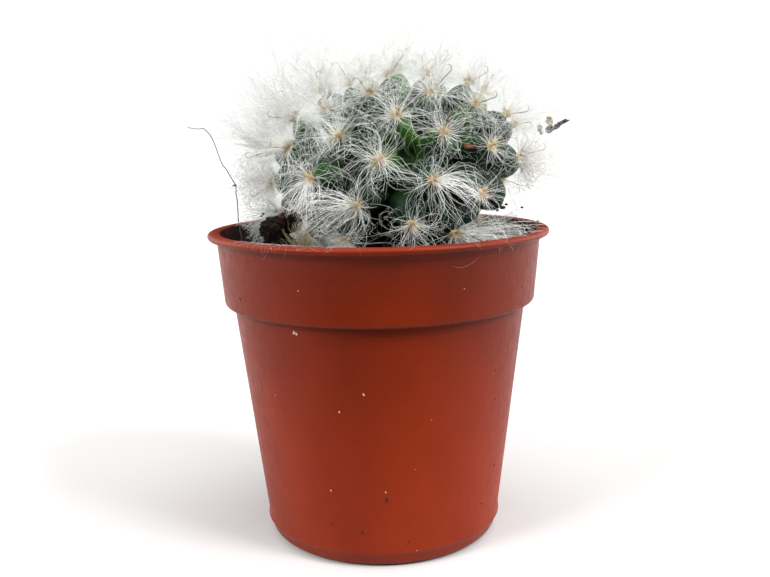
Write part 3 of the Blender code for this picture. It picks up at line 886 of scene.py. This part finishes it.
def keep_clear(places):
    """Move points that come too near the plant, the peat or the pot back out."""
    for row in range(len(places)):
        point = Vector(places[row])
        near, normal, _, distance = obstacles.find_nearest(point)
        if (point - near).dot(normal) < HAIR_CLEARANCE:
            point = near + normal * HAIR_CLEARANCE
        reach = point.xy.length
        if point.z < POT_HEIGHT + HAIR_CLEARANCE:
            inside = wall_radius(point.z) - 2 * HAIR_CLEARANCE
            if reach < LIP_RADIUS:
                if reach > inside:
                    point.xy *= inside / reach
            elif reach < LIP_RADIUS + 2 * HAIR_CLEARANCE:
                point.xy *= (LIP_RADIUS + 2 * HAIR_CLEARANCE) / reach
        places[row] = point


def unit(vectors):
    """Rows of a table of vectors, each made one long."""
    return vectors / np.maximum(np.linalg.norm(vectors, axis=1, keepdims=True), 1e-12)


def drawn(values, count):
    """One number a hair: drawn from a (low, high) range, or as given."""
    if isinstance(values, tuple):
        return hair_rng.uniform(*values, count)
    return np.broadcast_to(values, count)


def grow(roots, headings, lengths, pull, curls, points=HAIR_POINTS):
    """Paths of hairs, drawn on from their roots, pulled aside as they run, and kept clear."""
    count = len(roots)
    curls = drawn(curls, count)[:, None]
    paths = np.empty((count, points, 3))
    paths[:, 0] = roots
    way = unit(headings)
    step = lengths[:, None] / (points - 1)
    first_axis = unit(hair_rng.normal(size=(count, 3)))
    second_axis = unit(hair_rng.normal(size=(count, 3)))
    phase = hair_rng.uniform(0.0, math.tau, (count, 1))
    rate = hair_rng.uniform(*SWAY_RATES, (count, 1))
    for index in range(1, points):
        share = index / (points - 1)
        sway = np.sin(phase + rate * share) * first_axis + np.cos(phase + rate * share) * second_axis
        way = unit(way + (np.array(pull) * share + sway * curls * share**CURL_START) / points)
        places = paths[:, index - 1] + way * step
        keep_clear(places)
        way = unit(places - paths[:, index - 1])
        paths[:, index] = places
    return paths


def fit_in_room(paths):
    """Shorten the hairs that would leave the CAD box with its margin, hang in the rim's shade, or
    cross the front of the peat clump."""
    root = paths[:, :1]
    low, high = (np.array(corner) for corner in cad_box)
    slack = ROOM_MARGIN * (high - low)
    over = np.maximum((paths - root) / (high + slack - root), (root - paths) / (root - low + slack))
    share = 1.0 / np.maximum(over.max(axis=(1, 2)), 1.0)
    x, y, z = np.moveaxis(paths, 2, 0)
    reach = np.hypot(x, y)
    shaded = (reach > RIM_SHADE_REACH) & (reach < COLLAR_TOP_RADIUS) & (z < RIM_SHADE_Z)
    shaded &= (x < 0.0) | (y > 0.0)
    on_clump = y < CLUMP_BACK_Y
    for place, (start, end) in ((x, CLUMP_SIDES), (z, CLUMP_HEIGHTS)):
        on_clump &= (place > start) & (place < end)
    shaded |= on_clump
    first = np.where(shaded.any(axis=1), shaded.argmax(axis=1), paths.shape[1])
    share = np.minimum(share, np.maximum(first / paths.shape[1], LEAST_SHARE))
    return root + (paths - root) * share[:, None, None]


def comb_together(paths, leader_count, hold):
    """Draw each hair towards the nearest of a few leaders, more so towards its tip."""
    hairs, points, _ = paths.shape
    leaders = hair_rng.choice(hairs, leader_count, replace=hairs < 3)
    hold = drawn(hold, 1)
    ends = paths[:, points // 2]
    nearest = np.argmin(np.linalg.norm(ends[:, None] - ends[leaders][None], axis=2), axis=1)
    share = np.linspace(0.0, 1.0, points)[None, :, None] ** COMB_START
    return fit_in_room(paths + hold * share * (paths[leaders][nearest] - paths))


def radial_hairs(count, tip, normal, rise, lengths):
    """Roots, headings and lengths of hairs all round an areole. Their rise above the skin is from
    and to this many degrees, and a power above 1 lays more of them low."""
    lowest, highest, power = rise
    seat = np.array(standing_on(tip + normal * AREOLE_LIFT, normal))
    turn = np.arange(count) * DIVERGENCE + hair_rng.uniform(-0.3, 0.3, count)
    rise = np.radians(lowest + (highest - lowest) * hair_rng.random(count) ** power)
    local = np.column_stack((np.cos(turn) * np.cos(rise), np.sin(turn) * np.cos(rise), np.sin(rise)))
    headings = local @ seat[:3, :3].T
    roots = seat[:3, 3] + headings * ROOT_RING
    return roots, headings, hair_rng.uniform(*lengths, count)


def aimed_hairs(index, count, way, spread):
    """Roots and headings of hairs that leave an areole in much the same direction."""
    tip, normal, _ = tubercles[index]
    headings = unit(np.array(way) + spread * hair_rng.normal(size=(count, 3)))
    return np.array(tip + normal * AREOLE_LIFT) + headings * ROOT_RING, headings


triangle_data = bpy.data.curves.new("hair_section", "CURVE")
triangle_data.dimensions = "2D"
outline = triangle_data.splines.new("POLY")
outline.points.add(HAIR_SIDES - 1)
for index, point in enumerate(outline.points):
    turn = math.tau * index / HAIR_SIDES
    point.co = (math.cos(turn), math.sin(turn), 0.0, 1.0)
outline.use_cyclic_u = True
triangle = put_in_scene("hair_section", triangle_data)


def strand_piece(name, paths, radii, tints, material, tip_share=HAIR_TIP_SHARE):
    """Tapered tubes along paths as one piece. Its map runs root to tip along U, and V is a hair's
    tint, which sets how far it is painted in shade. Radii and tints are one number, one a hair, or
    a range to draw from."""
    hairs, count, _ = paths.shape
    radii = drawn(radii, hairs)
    tints = drawn(tints, hairs)
    curve = bpy.data.curves.new(name, "CURVE")
    curve.dimensions = "3D"
    curve.bevel_mode = "OBJECT"
    curve.bevel_object = triangle
    curve.use_fill_caps = True
    taper = 1.0 - (1.0 - tip_share) * np.linspace(0.0, 1.0, count) ** 1.5
    for path, radius in zip(paths, radii):
        spline = curve.splines.new("POLY")
        spline.points.add(count - 1)
        spline.points.foreach_set("co", np.column_stack((path, np.ones(count))).ravel())
        spline.points.foreach_set("radius", taper * radius)
    strand = put_in_scene(name, curve)
    bpy.context.view_layer.update()
    evaluated = strand.evaluated_get(bpy.context.evaluated_depsgraph_get())
    mesh = bpy.data.meshes.new_from_object(evaluated)
    bpy.data.objects.remove(strand, do_unlink=True)
    mesh.name = name
    corner = np.empty(len(mesh.loops), dtype=np.int32)
    mesh.loops.foreach_get("vertex_index", corner)
    caps = 2 * HAIR_SIDES * hairs
    on_cap = corner < caps
    ring = (corner - caps) // HAIR_SIDES
    hair = np.where(on_cap, corner // (2 * HAIR_SIDES), ring // count)
    at_tip = corner % (2 * HAIR_SIDES) < HAIR_SIDES
    along = np.where(on_cap, at_tip * (count - 1), ring % count) / (count - 1)
    for old_map in list(mesh.uv_layers):
        mesh.uv_layers.remove(old_map)
    strand_map = mesh.uv_layers.new(name="OFBake")
    strand_map.data.foreach_set("uv", np.column_stack((0.01 + 0.98 * along, tints[hair])).ravel())
    bm = bmesh.new()
    bm.from_mesh(mesh)
    bmesh.ops.remove_doubles(bm, verts=bm.verts, dist=HAIR_WELD)
    bmesh.ops.recalc_face_normals(bm, faces=bm.faces)
    bm.to_mesh(mesh)
    bm.free()
    mesh.shade_smooth()
    return put_in_scene(name, mesh, material)


strand_group, given, strand_colour = new_group(
    "strand_shades",
    (
        ("Root", "Color"), ("Middle", "Color"), ("Tip", "Color"), ("Shaded", "Color"),
        ("Middle At", "Float"), ("Tip At", "Float"), ("Shaded Share", "Float"),
    ),
    ("Colour", "Color"),
)
strand_map = strand_group.nodes.new("ShaderNodeUVMap")
strand_map.uv_map = "OFBake"
split = strand_group.nodes.new("ShaderNodeSeparateXYZ")
strand_group.links.new(strand_map.outputs["UV"], split.inputs["Vector"])
along = remap(strand_group, split.outputs["X"], 0.0, given["Middle At"])
colour = mix_colours(strand_group, along, given["Root"], given["Middle"])
along = remap(strand_group, split.outputs["X"], given["Middle At"], given["Tip At"])
colour = mix_colours(strand_group, along, colour, given["Tip"])
# Painted shade: hairs with a higher V turn towards the shaded colour past their roots.
shaded_hairs = remap(strand_group, split.outputs["Y"], 0.3, 1.0)
past_root = remap(strand_group, split.outputs["X"], 0.05, 0.3)
shaded = calculate(strand_group, "MULTIPLY", shaded_hairs, past_root)
shaded = calculate(strand_group, "MULTIPLY", shaded, given["Shaded Share"])
colour = mix_colours(strand_group, shaded, colour, given["Shaded"])
strand_group.links.new(colour, strand_colour)


def strand_material(name, roughness, colours, stops, darker=None):
    """A hair's colours at its root, from one share of its length on and from another, with some
    of the hairs painted darker, as shade."""
    material, tree, shader = new_material(name, colours[2], roughness)
    shades = tree.nodes.new("ShaderNodeGroup")
    shades.node_tree = strand_group
    for socket, colour in zip(("Root", "Middle", "Tip", "Shaded"), (*colours, darker or colours[2])):
        shades.inputs[socket].default_value = (*colour, 1.0)
    shares = (*stops, SHADED_SHARE if darker else 0.0)
    for socket, share in zip(("Middle At", "Tip At", "Shaded Share"), shares):
        shades.inputs[socket].default_value = share
    tree.links.new(shades.outputs["Colour"], shader.inputs["Base Color"])
    return material


hair_material = strand_material(
    "silky_hair", 0.55, (HAIR_TAN, HAIR_CREAM, HAIR_WHITE), stops=(0.05, 0.15), darker=HAIR_SHADED_GREY
)
halo_material = strand_material(
    "flyaway_hair", 0.6, (HAIR_CREAM, HALO_WHITE, HALO_WHITE), stops=(0.08, 0.20), darker=HALO_SHADED_GREY
)
hairs = []
halo = []
for index, (tip, normal, space) in enumerate(tubercles):
    usual = 1.0 if normal.y < BACK_FACE else BACK_DENSITY
    count = int(HAIRS_PER_AREA * space * space * DENSITY.get(index, usual))
    roots, headings, lengths = radial_hairs(count, tip, normal, HAIR_RISE, HAIR_LENGTHS)
    on_front = normal.y < FRONT_FACE and tip.z > FRONT_Z
    pull = Vector((0.0, 0.0, -FRONT_SAG if on_front else -OTHER_SAG)) - HAIR_LAY * normal
    if index in SWEEPS:
        way, force = SWEEPS[index]
        pull += Vector(way) * force
    paths = grow(roots, headings, lengths, pull, HAIR_CURLS)
    paths = comb_together(paths, max(3, count // HAIRS_A_LEADER), HAIR_HOLDS)
    thickness = hair_rng.random(count) ** FINE_SHARE
    radii = HAIR_RADII[0] + (HAIR_RADII[1] - HAIR_RADII[0]) * thickness
    hairs.append((paths, radii, drawn(FLANK_TINTS if normal.x < FLANK_FACE else ALL_TINTS, count)))
    tints = FLANK_TINTS if tip.x < FLANK_X else CROWN_TINTS
    if index in AXIL_HAIRS:
        count = AXIL_HAIRS[index]
        roots, headings, lengths = radial_hairs(count, tip, normal, AXIL_RISE, AXIL_LENGTHS)
        paths = fit_in_room(grow(roots, headings, lengths, AXIL_PULL * normal, AXIL_CURL))
        hairs.append((paths, drawn(HALO_RADII, count), drawn(tints, count)))
    if index in HALO_HAIRS:
        count = HALO_HAIRS[index]
        roots, headings, lengths = radial_hairs(count, tip, normal, HALO_RISE, HALO_LENGTHS)
        curls = drawn(HALO_CURLS, count)
        drift = CROWN_DRIFT if tip.z > CROWN_Z else SIDE_DRIFT
        if tip.x < FLANK_X and tip.z > FLANK_Z:
            drift = FLANK_DRIFT
            curls *= FLANK_CURL
        halo_tints = drawn(tints, count)
        paths = grow(roots, headings, lengths, drift, curls, HALO_POINTS)
        halo.append((comb_together(paths, max(3, count // HAIRS_A_LEADER), HALO_HOLD), halo_tints))
for index, count, way, pull, length, spread, hold in LOCKS:
    roots, headings = aimed_hairs(index, count, Vector(way).normalized(), spread)
    lengths = length * hair_rng.uniform(0.75, 1.1, count)
    paths = grow(roots, headings, lengths, Vector(pull), LOCK_CURLS)
    paths = comb_together(paths, LOCK_LEADERS, hold)
    hairs.append((paths, drawn(LOCK_RADII, count), drawn(LOCK_TINTS, count)))
paths, radii, tints = (np.concatenate(table) for table in zip(*hairs))
count = len(paths)
piece_count = math.ceil(count / MOST_HAIRS_A_PIECE)
for index in range(piece_count):
    part = slice(index * count // piece_count, (index + 1) * count // piece_count)
    name = f"woolly_hair_{index + 1}"
    hair = strand_piece(name, paths[part], radii[part], tints[part], hair_material)
    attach(hair, "root")
    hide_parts("wool")
paths, tints = (np.concatenate(table) for table in zip(*halo))
flyaway = strand_piece("flyaway_hair", paths, HALO_RADII, tints, halo_material)
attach(flyaway, "root")
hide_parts("wool")

# Radial bristles: a star of short straight bristles under the silky hair of each areole, and the
# felt's own stubble, tan and cream.
STAR_BRISTLES = 22
STAR_RISE = (2.0, 50.0, 1.5)
STAR_LENGTHS = (0.0022, 0.0050)
STAR_RADIUS = 0.000029
STUBBLE_BRISTLES = 46
STUBBLE_RISE = (5.0, 85.0, 1.0)
STUBBLE_LENGTHS = (0.0006, 0.0013)
STUBBLE_RADIUS = 0.000042
NO_PULL = (0.0, 0.0, 0.0)


def bristle_stars(count, rise, lengths, curl, points):
    """Short bristles all round every woolly areole."""
    stars = [
        grow(*radial_hairs(count, tip, normal, rise, lengths), NO_PULL, curl, points)
        for _, tip, normal, _ in woolly
    ]
    return np.concatenate(stars)


paths = fit_in_room(bristle_stars(STAR_BRISTLES, STAR_RISE, STAR_LENGTHS, curl=0.8, points=4))
horn = strand_material(
    "bristle_horn", 0.5, (HAIR_TAN, HAIR_CREAM, HAIR_WHITE), stops=(0.13, 0.32), darker=HAIR_SHADED_GREY
)
bristles = strand_piece("radial_bristles", paths, STAR_RADIUS, (0.02, 0.5), horn)
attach(bristles, "root")
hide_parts("wool")

paths = bristle_stars(STUBBLE_BRISTLES, STUBBLE_RISE, STUBBLE_LENGTHS, curl=0.5, points=3)
felt_hair = strand_material("felt_stubble", 0.9, (FELT_TAN, FELT_CREAM, HAIR_CREAM), stops=(0.5, 1.0))
stubble = strand_piece("areole_stubble", paths, STUBBLE_RADIUS, ALL_TINTS, felt_hair)
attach(stubble, "root")

# Hooked spines: one stiff reddish-brown central spine to an areole, amber at its foot, with a small
# hook at its end.
HOOK_LENGTHS = (0.0022, 0.0036)
HOOK_LEAN = 0.35
HOOK_BEND = 0.0010
HOOK_RADIUS = 0.000080
HOOK_WAYS = {
    # areole: the spine's run from foot to hook, in millimetres
    7: (-0.9, -1.0, 2.6), 2: (-1.8, -1.0, 3.0), 4: (-0.6, -0.6, 2.4), 12: (-2.6, -0.4, 1.2),
    15: (-3.6, -1.6, 0.2), 20: (-1.6, -0.6, 4.2), 23: (-2.2, -3.0, 0.2), 28: (-3.6, -2.0, -1.2),
    36: (-2.6, -2.4, -1.8), 0: (2.2, -1.6, 3.0), 1: (1.6, 0.0, 3.2), 8: (3.0, -1.6, 3.2),
    6: (2.2, 0.6, 2.6), 11: (2.8, -1.2, 1.6), 16: (2.8, -1.6, 1.0), 24: (3.0, -1.2, 0.3),
    37: (3.6, -1.0, 0.9), 26: (0.4, -2.8, -0.8), 13: (0.4, -2.8, 0.6), 10: (-1.0, -2.6, 0.8),
    18: (-1.4, -2.6, 0.4),
}
HOOK_AMBER = (0.50, 0.22, 0.07)
HOOK_BROWN = (0.17, 0.032, 0.014)

paths = []
for index, tip, normal, space in woolly:
    side = Vector(hair_rng.normal(size=3))
    side = (side - normal * side.dot(normal)).normalized()
    shaft = (normal + HOOK_LEAN * side).normalized()
    length = hair_rng.uniform(*HOOK_LENGTHS)
    if index in HOOK_WAYS:
        run = Vector(HOOK_WAYS[index])
        shaft = run.normalized()
        length = run.length / 1000.0
        backward = Vector((0.0, 1.0, 0.0))
        side = shaft.cross(backward) if shaft.x > 0.0 else backward.cross(shaft)
        side = -side if shaft.z > 0.6 and hair_rng.random() < 0.4 else side
    bend = (side - shaft * side.dot(shaft)).normalized()
    start = tip + normal * AREOLE_LIFT
    top = start + shaft * length
    route = [start + shaft * length * share for share in (0.0, 0.25, 0.5, 0.75)]
    for turn in (0, 40, 80, 120, 160):
        angle = math.radians(turn)
        curve = shaft * math.sin(angle) + bend * (1.0 - math.cos(angle))
        route.append(top + curve * HOOK_BEND / 2)
    paths.append([list(place) for place in route])
paths = np.array(paths)
keep_clear(paths.reshape(-1, 3))
horn = strand_material("spine_horn", 0.3, (HOOK_AMBER, HOOK_BROWN, HOOK_BROWN), stops=(0.25, 1.0))
hooks = strand_piece("hooked_spines", paths, HOOK_RADIUS, (0.1, 0.9), horn)
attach(hooks, "root")

# Root fibre: one grey-brown strand out of the peat that stands up beside the plant at the left,
# with a small knot where it bends, and leans away over the rim.
FIBRE_RADIUS = 0.000105
FIBRE_WANDER = 0.00022
FIBRE_ROUTE = (
    (-0.0218, -0.0040, 0.0448), (-0.0218, -0.0040, 0.0487), (-0.0221, -0.0040, 0.0527),
    (-0.0223, -0.0040, 0.0558), (-0.02243, -0.0040, 0.0577), (-0.0231, -0.0040, 0.0592),
    (-0.0239, -0.0040, 0.0606), (-0.0248, -0.0040, 0.0625), (-0.0252, -0.0040, 0.0641),
    (-0.0257, -0.0040, 0.0652), (-0.0260, -0.0040, 0.0657), (-0.0265, -0.0040, 0.0664),
    (-0.0270, -0.0040, 0.0667), (-0.0280, -0.0040, 0.0665), (-0.0293, -0.0040, 0.0668),
)
FIBRE_KNOT = Vector(FIBRE_ROUTE[4])
FIBRE_KNOT_RADIUS = 0.00026
FIBRE_COLOUR = (0.070, 0.055, 0.040)
FIBRE_DARK = (0.022, 0.017, 0.013)


def smooth_route(points, count):
    """Points evenly spread along a Catmull-Rom curve through a few given ones."""
    points = [Vector(point) for point in points]
    ends = [2 * points[0] - points[1], *points, 2 * points[-1] - points[-2]]
    spans = len(points) - 1
    route = []
    for index in range(count):
        along = spans * index / (count - 1)
        span = min(int(along), spans - 1)
        t = along - span
        a, b, c, d = ends[span : span + 4]
        bent = 2 * b + (c - a) * t + (2 * a - 5 * b + 4 * c - d) * t**2
        route.append(0.5 * (bent + (3 * (b - c) + d - a) * t**3))
    return route


route = smooth_route(FIBRE_ROUTE, 60)
for place in route:
    place += noise.noise_vector(place * 700.0) * FIBRE_WANDER
material = mottled_material(
    "dry_root", FIBRE_DARK, FIBRE_COLOUR, roughness=0.85, scale=900.0, share=(0.4, 0.6)
)
paths = np.array([[list(place) for place in route]])
fibre = strand_piece("root_fibre_strand", paths, FIBRE_RADIUS, 0.5, material, tip_share=0.5)
bm = bmesh.new()
bm.from_mesh(fibre.data)
add_crumb(bm, FIBRE_KNOT, FIBRE_KNOT_RADIUS, 2)
add_crumb(bm, FIBRE_KNOT + Vector((-0.0003, 0.0, -0.0001)), 0.6 * FIBRE_KNOT_RADIUS)
fibre.data = bmesh_to_mesh("root_fibre_strand", bm, 60)
fibre.data.materials.append(material)
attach(fibre, "root")
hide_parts("root_fibre")

# Cotton puff: very fine matted wool at the right flank, where the hair of two areoles has felted
# together, with the few strands that hold a flake of bark.
PUFF_HAIRS = ((37, 320), (45, 180), (32, 60))
PUFF_WAY = Vector((1.0, -0.1, 0.12))
PUFF_SPREAD = 0.45
PUFF_PULL = (-0.6, 0.0, 0.25)
PUFF_LENGTHS = (0.0065, 0.0150)
PUFF_RADII = (0.000009, 0.000016)
PUFF_CURL = 12.0
FLAKE_PLACE = Vector((0.0277, 0.0, 0.0653))
FLAKE_AREOLES = (24, 32, 45, 37)
FLAKE_HAIRS = 14

puff = []
for index, count in PUFF_HAIRS:
    roots, headings = aimed_hairs(index, count, PUFF_WAY, PUFF_SPREAD)
    curls = PUFF_CURL * hair_rng.uniform(0.5, 1.4, count)
    puff.append(grow(roots, headings, hair_rng.uniform(*PUFF_LENGTHS, count), PUFF_PULL, curls))
for index in FLAKE_AREOLES:
    tip, normal, space = tubercles[index]
    way = FLAKE_PLACE - (tip + normal * AREOLE_LIFT)
    roots, headings = aimed_hairs(index, FLAKE_HAIRS, way.normalized(), 0.12)
    lengths = way.length * hair_rng.uniform(0.95, 1.25, FLAKE_HAIRS)
    puff.append(grow(roots, headings, lengths, NO_PULL, 1.2))
paths = fit_in_room(np.concatenate(puff))
cotton = strand_piece("cotton_puff", paths, PUFF_RADII, (0.02, 0.6), halo_material)
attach(cotton, "root")
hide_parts("wool")

# Bark flake: a dark sliver with a paler scale and a grey bit beside it, caught in the hair at the
# right. They came with the potting peat.
FLAKE_BITS = (
    # place, turned about Y in degrees, half length, half width, half thickness, colour
    (Vector((0.02925, 0.0, 0.06612)), -28.0, 0.00175, 0.00036, 0.00028, "dark"),
    (Vector((0.02785, 0.0, 0.06545)), -28.0, 0.00080, 0.00052, 0.00040, "dark"),
    (Vector((0.02850, -0.0003, 0.06600)), -40.0, 0.00038, 0.00016, 0.00012, "pale"),
    (Vector((0.02780, 0.0002, 0.06680)), 76.0, 0.00085, 0.00052, 0.00018, "pale"),
    (Vector((0.02625, 0.0, 0.06535)), 78.0, 0.00072, 0.00042, 0.00028, "grey"),
)
FLAKE_COLOURS = {
    "dark": ((0.002, 0.0016, 0.0013), (0.011, 0.009, 0.007)),
    "pale": ((0.240, 0.180, 0.130), (0.520, 0.440, 0.360)),
    "grey": ((0.070, 0.076, 0.076), (0.180, 0.186, 0.186)),
}

for shade, (dark, light) in FLAKE_COLOURS.items():
    bm = bmesh.new()
    for place, turn, half_length, half_width, half_thickness, bit_shade in FLAKE_BITS:
        if bit_shade != shade:
            continue
        pose = Matrix.Translation(place) @ Matrix.Rotation(math.radians(turn), 4, "Y")
        size = Matrix.Diagonal((half_length, half_thickness, half_width, 1.0))
        add_lump(bm, pose @ size, 3, roughness=0.7, scale=1900.0)
    material = mottled_material(
        f"bark_{shade}", dark, light, roughness=0.85, scale=2600.0, share=(0.4, 0.65),
        relief=0.0001, stretch=(0.4, 1.0, 1.0), detail=4.0,
    )
    flake = finished_piece(f"bark_flake_{shade}", bm, 40, material)
    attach(flake, "root")

# Leavings: a straw-coloured brush of dead hair against the rim, loose hairs that lie over the lip,
# a dry spine that hangs down, two stray hairs over the rim and one on the collar.
BRUSH_FOOT = Vector((-0.0112, -0.0184, 0.0480))
BRUSH_FOOT_SPREAD = 0.00045
BRUSH_WAY = (0.12, -0.05, 1.0)
BRUSH_SPREAD = (0.34, 0.14, 0.05)
BRUSH_HAIRS = 150
BRUSH_LENGTHS = (0.0028, 0.0056)
BRUSH_RADIUS = 0.000024
BRUSH_CURLS = (0.3, 1.6)
STRAW = (0.120, 0.095, 0.040)
STRAW_LIGHT = (0.46, 0.42, 0.25)
RIM_HAIRS = (
    # from and to this turn in degrees, hairs
    (222.0, 248.0, 18), (248.0, 290.0, 6), (290.0, 320.0, 3),
)
RIM_HAIR_RADII = (0.000008, 0.000013)
RIM_LEANS = (0.03, 0.20)
RIM_DROP = 0.0018
RIM_ROUTE = (
    # share of the hair's turn, reach from the axis, height above the lip
    (0.0, 0.0246, -0.0006), (0.3, 0.0258, 0.00012), (0.6, 0.0267, 0.00022),
    (0.9, 0.0275, 0.0001), (1.0, 0.0277, -0.0003),
)
STRAY_ROUTES = (
    (
        (0.0205, -0.0060, 0.0508), (0.0240, -0.0040, 0.0507), (0.0264, -0.0030, 0.0509),
        (0.0296, -0.0030, 0.0524),
    ),
    (
        (0.0210, -0.0050, 0.0512), (0.0240, -0.0036, 0.0521), (0.0268, -0.0030, 0.0526),
        (0.0288, -0.0030, 0.0525),
    ),
)
COLLAR_HAIR = (
    # x and z on the viewer's side of the collar
    (0.0100, 0.0472), (0.0113, 0.0468), (0.0127, 0.0471), (0.0140, 0.0480), (0.0149, 0.0489),
)
DRY_SPINE = (
    (0.0033, -0.0176, 0.0530), (0.0034, -0.0187, 0.0520), (0.0033, -0.0190, 0.0511),
    (0.0034, -0.0188, 0.0503),
)
STRAY_RADII = (0.000032, 0.000026, 0.000040, 0.000075)
STRAY_TINTS = (0.9, 0.9, 0.2, 0.3)

headings = unit(np.array(BRUSH_WAY) + hair_rng.normal(size=(BRUSH_HAIRS, 3)) * BRUSH_SPREAD)
roots = np.array(BRUSH_FOOT) + hair_rng.uniform(
    -BRUSH_FOOT_SPREAD, BRUSH_FOOT_SPREAD, (BRUSH_HAIRS, 3)
)
lengths = drawn(BRUSH_LENGTHS, BRUSH_HAIRS)
paths = grow(roots, headings, lengths, NO_PULL, BRUSH_CURLS, 7)
straw = strand_material("straw", 0.8, (STRAW, STRAW_LIGHT, STRAW_LIGHT), stops=(0.6, 1.0), darker=STRAW)
brush = strand_piece("straw_brush", paths, BRUSH_RADIUS, ALL_TINTS, straw)
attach(brush, "root")

paths = []
for first, last, count in RIM_HAIRS:
    for turn in hair_rng.uniform(math.radians(first), math.radians(last), count):
        lean = hair_rng.choice((-1.0, 1.0)) * hair_rng.uniform(*RIM_LEANS)
        drop = RIM_DROP * hair_rng.random() ** 3
        route = []
        for share, reach, lift in RIM_ROUTE:
            angle = turn + lean * (share + hair_rng.uniform(-0.25, 0.25))
            reach += hair_rng.uniform(0.0, 0.0002)
            z = POT_HEIGHT + lift - (drop if share == 1.0 else 0.0)
            route.append((reach * math.cos(angle), reach * math.sin(angle), z))
        paths.append([list(place) for place in smooth_route(route, 14)])
rim_hairs = strand_piece("rim_hairs", np.array(paths), RIM_HAIR_RADII, ALL_TINTS, halo_material)
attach(rim_hairs, "root")

collar_route = []
for x, z in COLLAR_HAIR:
    reach = wall_radius(z) + POT_WALL + 0.00006
    collar_route.append((x, -math.sqrt(reach * reach - x * x), z))
routes = (*STRAY_ROUTES, collar_route, DRY_SPINE)
paths = np.array([[list(place) for place in smooth_route(route, 16)] for route in routes])
stray_hair = strand_material("stray_hair", 0.7, (STRAW, STRAW_LIGHT, STRAW_LIGHT), stops=(0.5, 1.0))
strays = strand_piece("stray_hairs", paths, np.array(STRAY_RADII), np.array(STRAY_TINTS), stray_hair)
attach(strays, "root")
bpy.data.objects.remove(triangle, do_unlink=True)

# Caught crumbs: grains of peat held in the wool and on the rim, and the dried reddish remnant of
# a flower bud between two tubercles.
CAUGHT_CRUMBS = (
    # place, radius
    ((0.0186, -0.0122, 0.0541), 0.00042), ((0.0178, -0.0126, 0.0537), 0.00030),
    ((0.0193, -0.0118, 0.0545), 0.00026), ((0.0219, -0.0102, 0.0539), 0.00022),
    ((0.0241, -0.0062, 0.0508), 0.00050), ((0.0246, -0.0048, 0.0510), 0.00036),
    ((0.0236, -0.0074, 0.0509), 0.00032), ((0.0250, -0.0060, 0.0512), 0.00026),
    ((-0.0172, -0.0120, 0.0538), 0.00024), ((-0.0175, -0.0120, 0.0535), 0.00022),
)
BUD_PLACE = Vector((0.0134, -0.0150, 0.0636))
BUD_WAY = Vector((0.95, 0.0, -0.2))
BUD_LIFT = 0.0003
BUD_RADII = (0.00042, 0.00016)
BUD_LENGTH = 0.0021
BUD_WRINKLE = 0.00016
BUD_COLOUR = (0.14, 0.035, 0.016)
BUD_LIGHT = (0.33, 0.16, 0.09)

bm = bmesh.new()
for place, radius in CAUGHT_CRUMBS:
    add_crumb(bm, Vector(place), radius, 2)
crumbs = finished_piece("caught_crumbs", bm, 35, peat_material)
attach(crumbs, "root")

near, out, _, _ = obstacles.find_nearest(BUD_PLACE)
along = (BUD_WAY - out * out.dot(BUD_WAY)).normalized()
bm = bmesh.new()
bmesh.ops.create_cone(
    bm,
    cap_ends=True,
    segments=14,
    radius1=BUD_RADII[0],
    radius2=BUD_RADII[1],
    depth=BUD_LENGTH,
    matrix=standing_on(near + out * BUD_LIFT, along),
)
bmesh.ops.subdivide_edges(bm, edges=bm.edges[:], cuts=2, use_grid_fill=True)
for vert in bm.verts:
    vert.co += noise.noise_vector(vert.co * 1800.0) * BUD_WRINKLE
material = mottled_material(
    "dried_bud", BUD_COLOUR, BUD_LIGHT, roughness=0.8, scale=1500.0, share=(0.4, 0.62),
    relief=0.0001, stretch=(0.5, 1.0, 1.0),
)
remnant = finished_piece("bud_remnant", bm, 50, material)
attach(remnant, "root")

# Grains on the wall: specks of peat and of pale dust pressed flat on the outside of the pot, most
# of them low down, left from potting and watering.
WALL_GRAINS = {
    # x and z on the viewer's side, half length, in millimetres
    "dark": (
        (0.4, 11.7, 0.30), (-8.0, 7.2, 0.20), (-3.3, 6.2, 0.22), (17.4, 29.5, 0.15),
        (17.5, 24.7, 0.12), (17.7, 13.1, 0.18), (15.4, 7.5, 0.16), (-18.7, 12.9, 0.13),
        (3.7, 4.4, 0.16), (-20.9, 41.4, 0.24), (-17.2, 45.6, 0.15), (13.4, 45.0, 0.12),
        (-23.1, 47.9, 0.18), (21.4, 42.3, 0.12),
    ),
    "pale": (
        (-2.6, 28.5, 0.17), (-6.2, 25.6, 0.14), (-7.9, 12.7, 0.11), (0.3, 12.9, 0.11),
        (-11.4, 43.9, 0.10), (-1.3, 46.4, 0.11), (-12.5, 37.3, 0.26), (-12.1, 37.1, 0.20),
        (11.9, 43.7, 0.10),
    ),
}
GRAIN_SPREAD = 1.35
GRAIN_WIDTH = 0.55
GRAIN_HEIGHT = 0.00005
GRAIN_COLOURS = {
    "dark": ((0.010, 0.003, 0.002), (0.030, 0.008, 0.005)),
    "pale": ((0.45, 0.26, 0.18), (0.80, 0.62, 0.48)),
}

for shade, grains in WALL_GRAINS.items():
    bm = bmesh.new()
    for x, z, half_length in grains:
        z /= 1000.0
        x /= 1000.0
        reach = wall_radius(z) + POT_WALL
        place = Vector((x, -math.sqrt(reach * reach - x * x), z))
        out = Vector((place.x, place.y, 0.0)).normalized()
        tilt = Matrix.Rotation(hair_rng.uniform(-0.6, 0.6), 4, "Z")
        half_length *= GRAIN_SPREAD / 1000.0
        size = Matrix.Diagonal((GRAIN_WIDTH * half_length, half_length, GRAIN_HEIGHT, 1.0))
        add_lump(bm, standing_on(place, out) @ tilt @ size, 2, roughness=0.6, scale=5200.0)
    name = f"wall_grains_{shade}"
    dark, light = GRAIN_COLOURS[shade]
    material = mottled_material(
        name, dark, light, roughness=0.85, scale=4000.0, share=(0.4, 0.6), relief=0.00004
    )
    wall_grains = finished_piece(name, bm, 50, material)
    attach(wall_grains, "root")
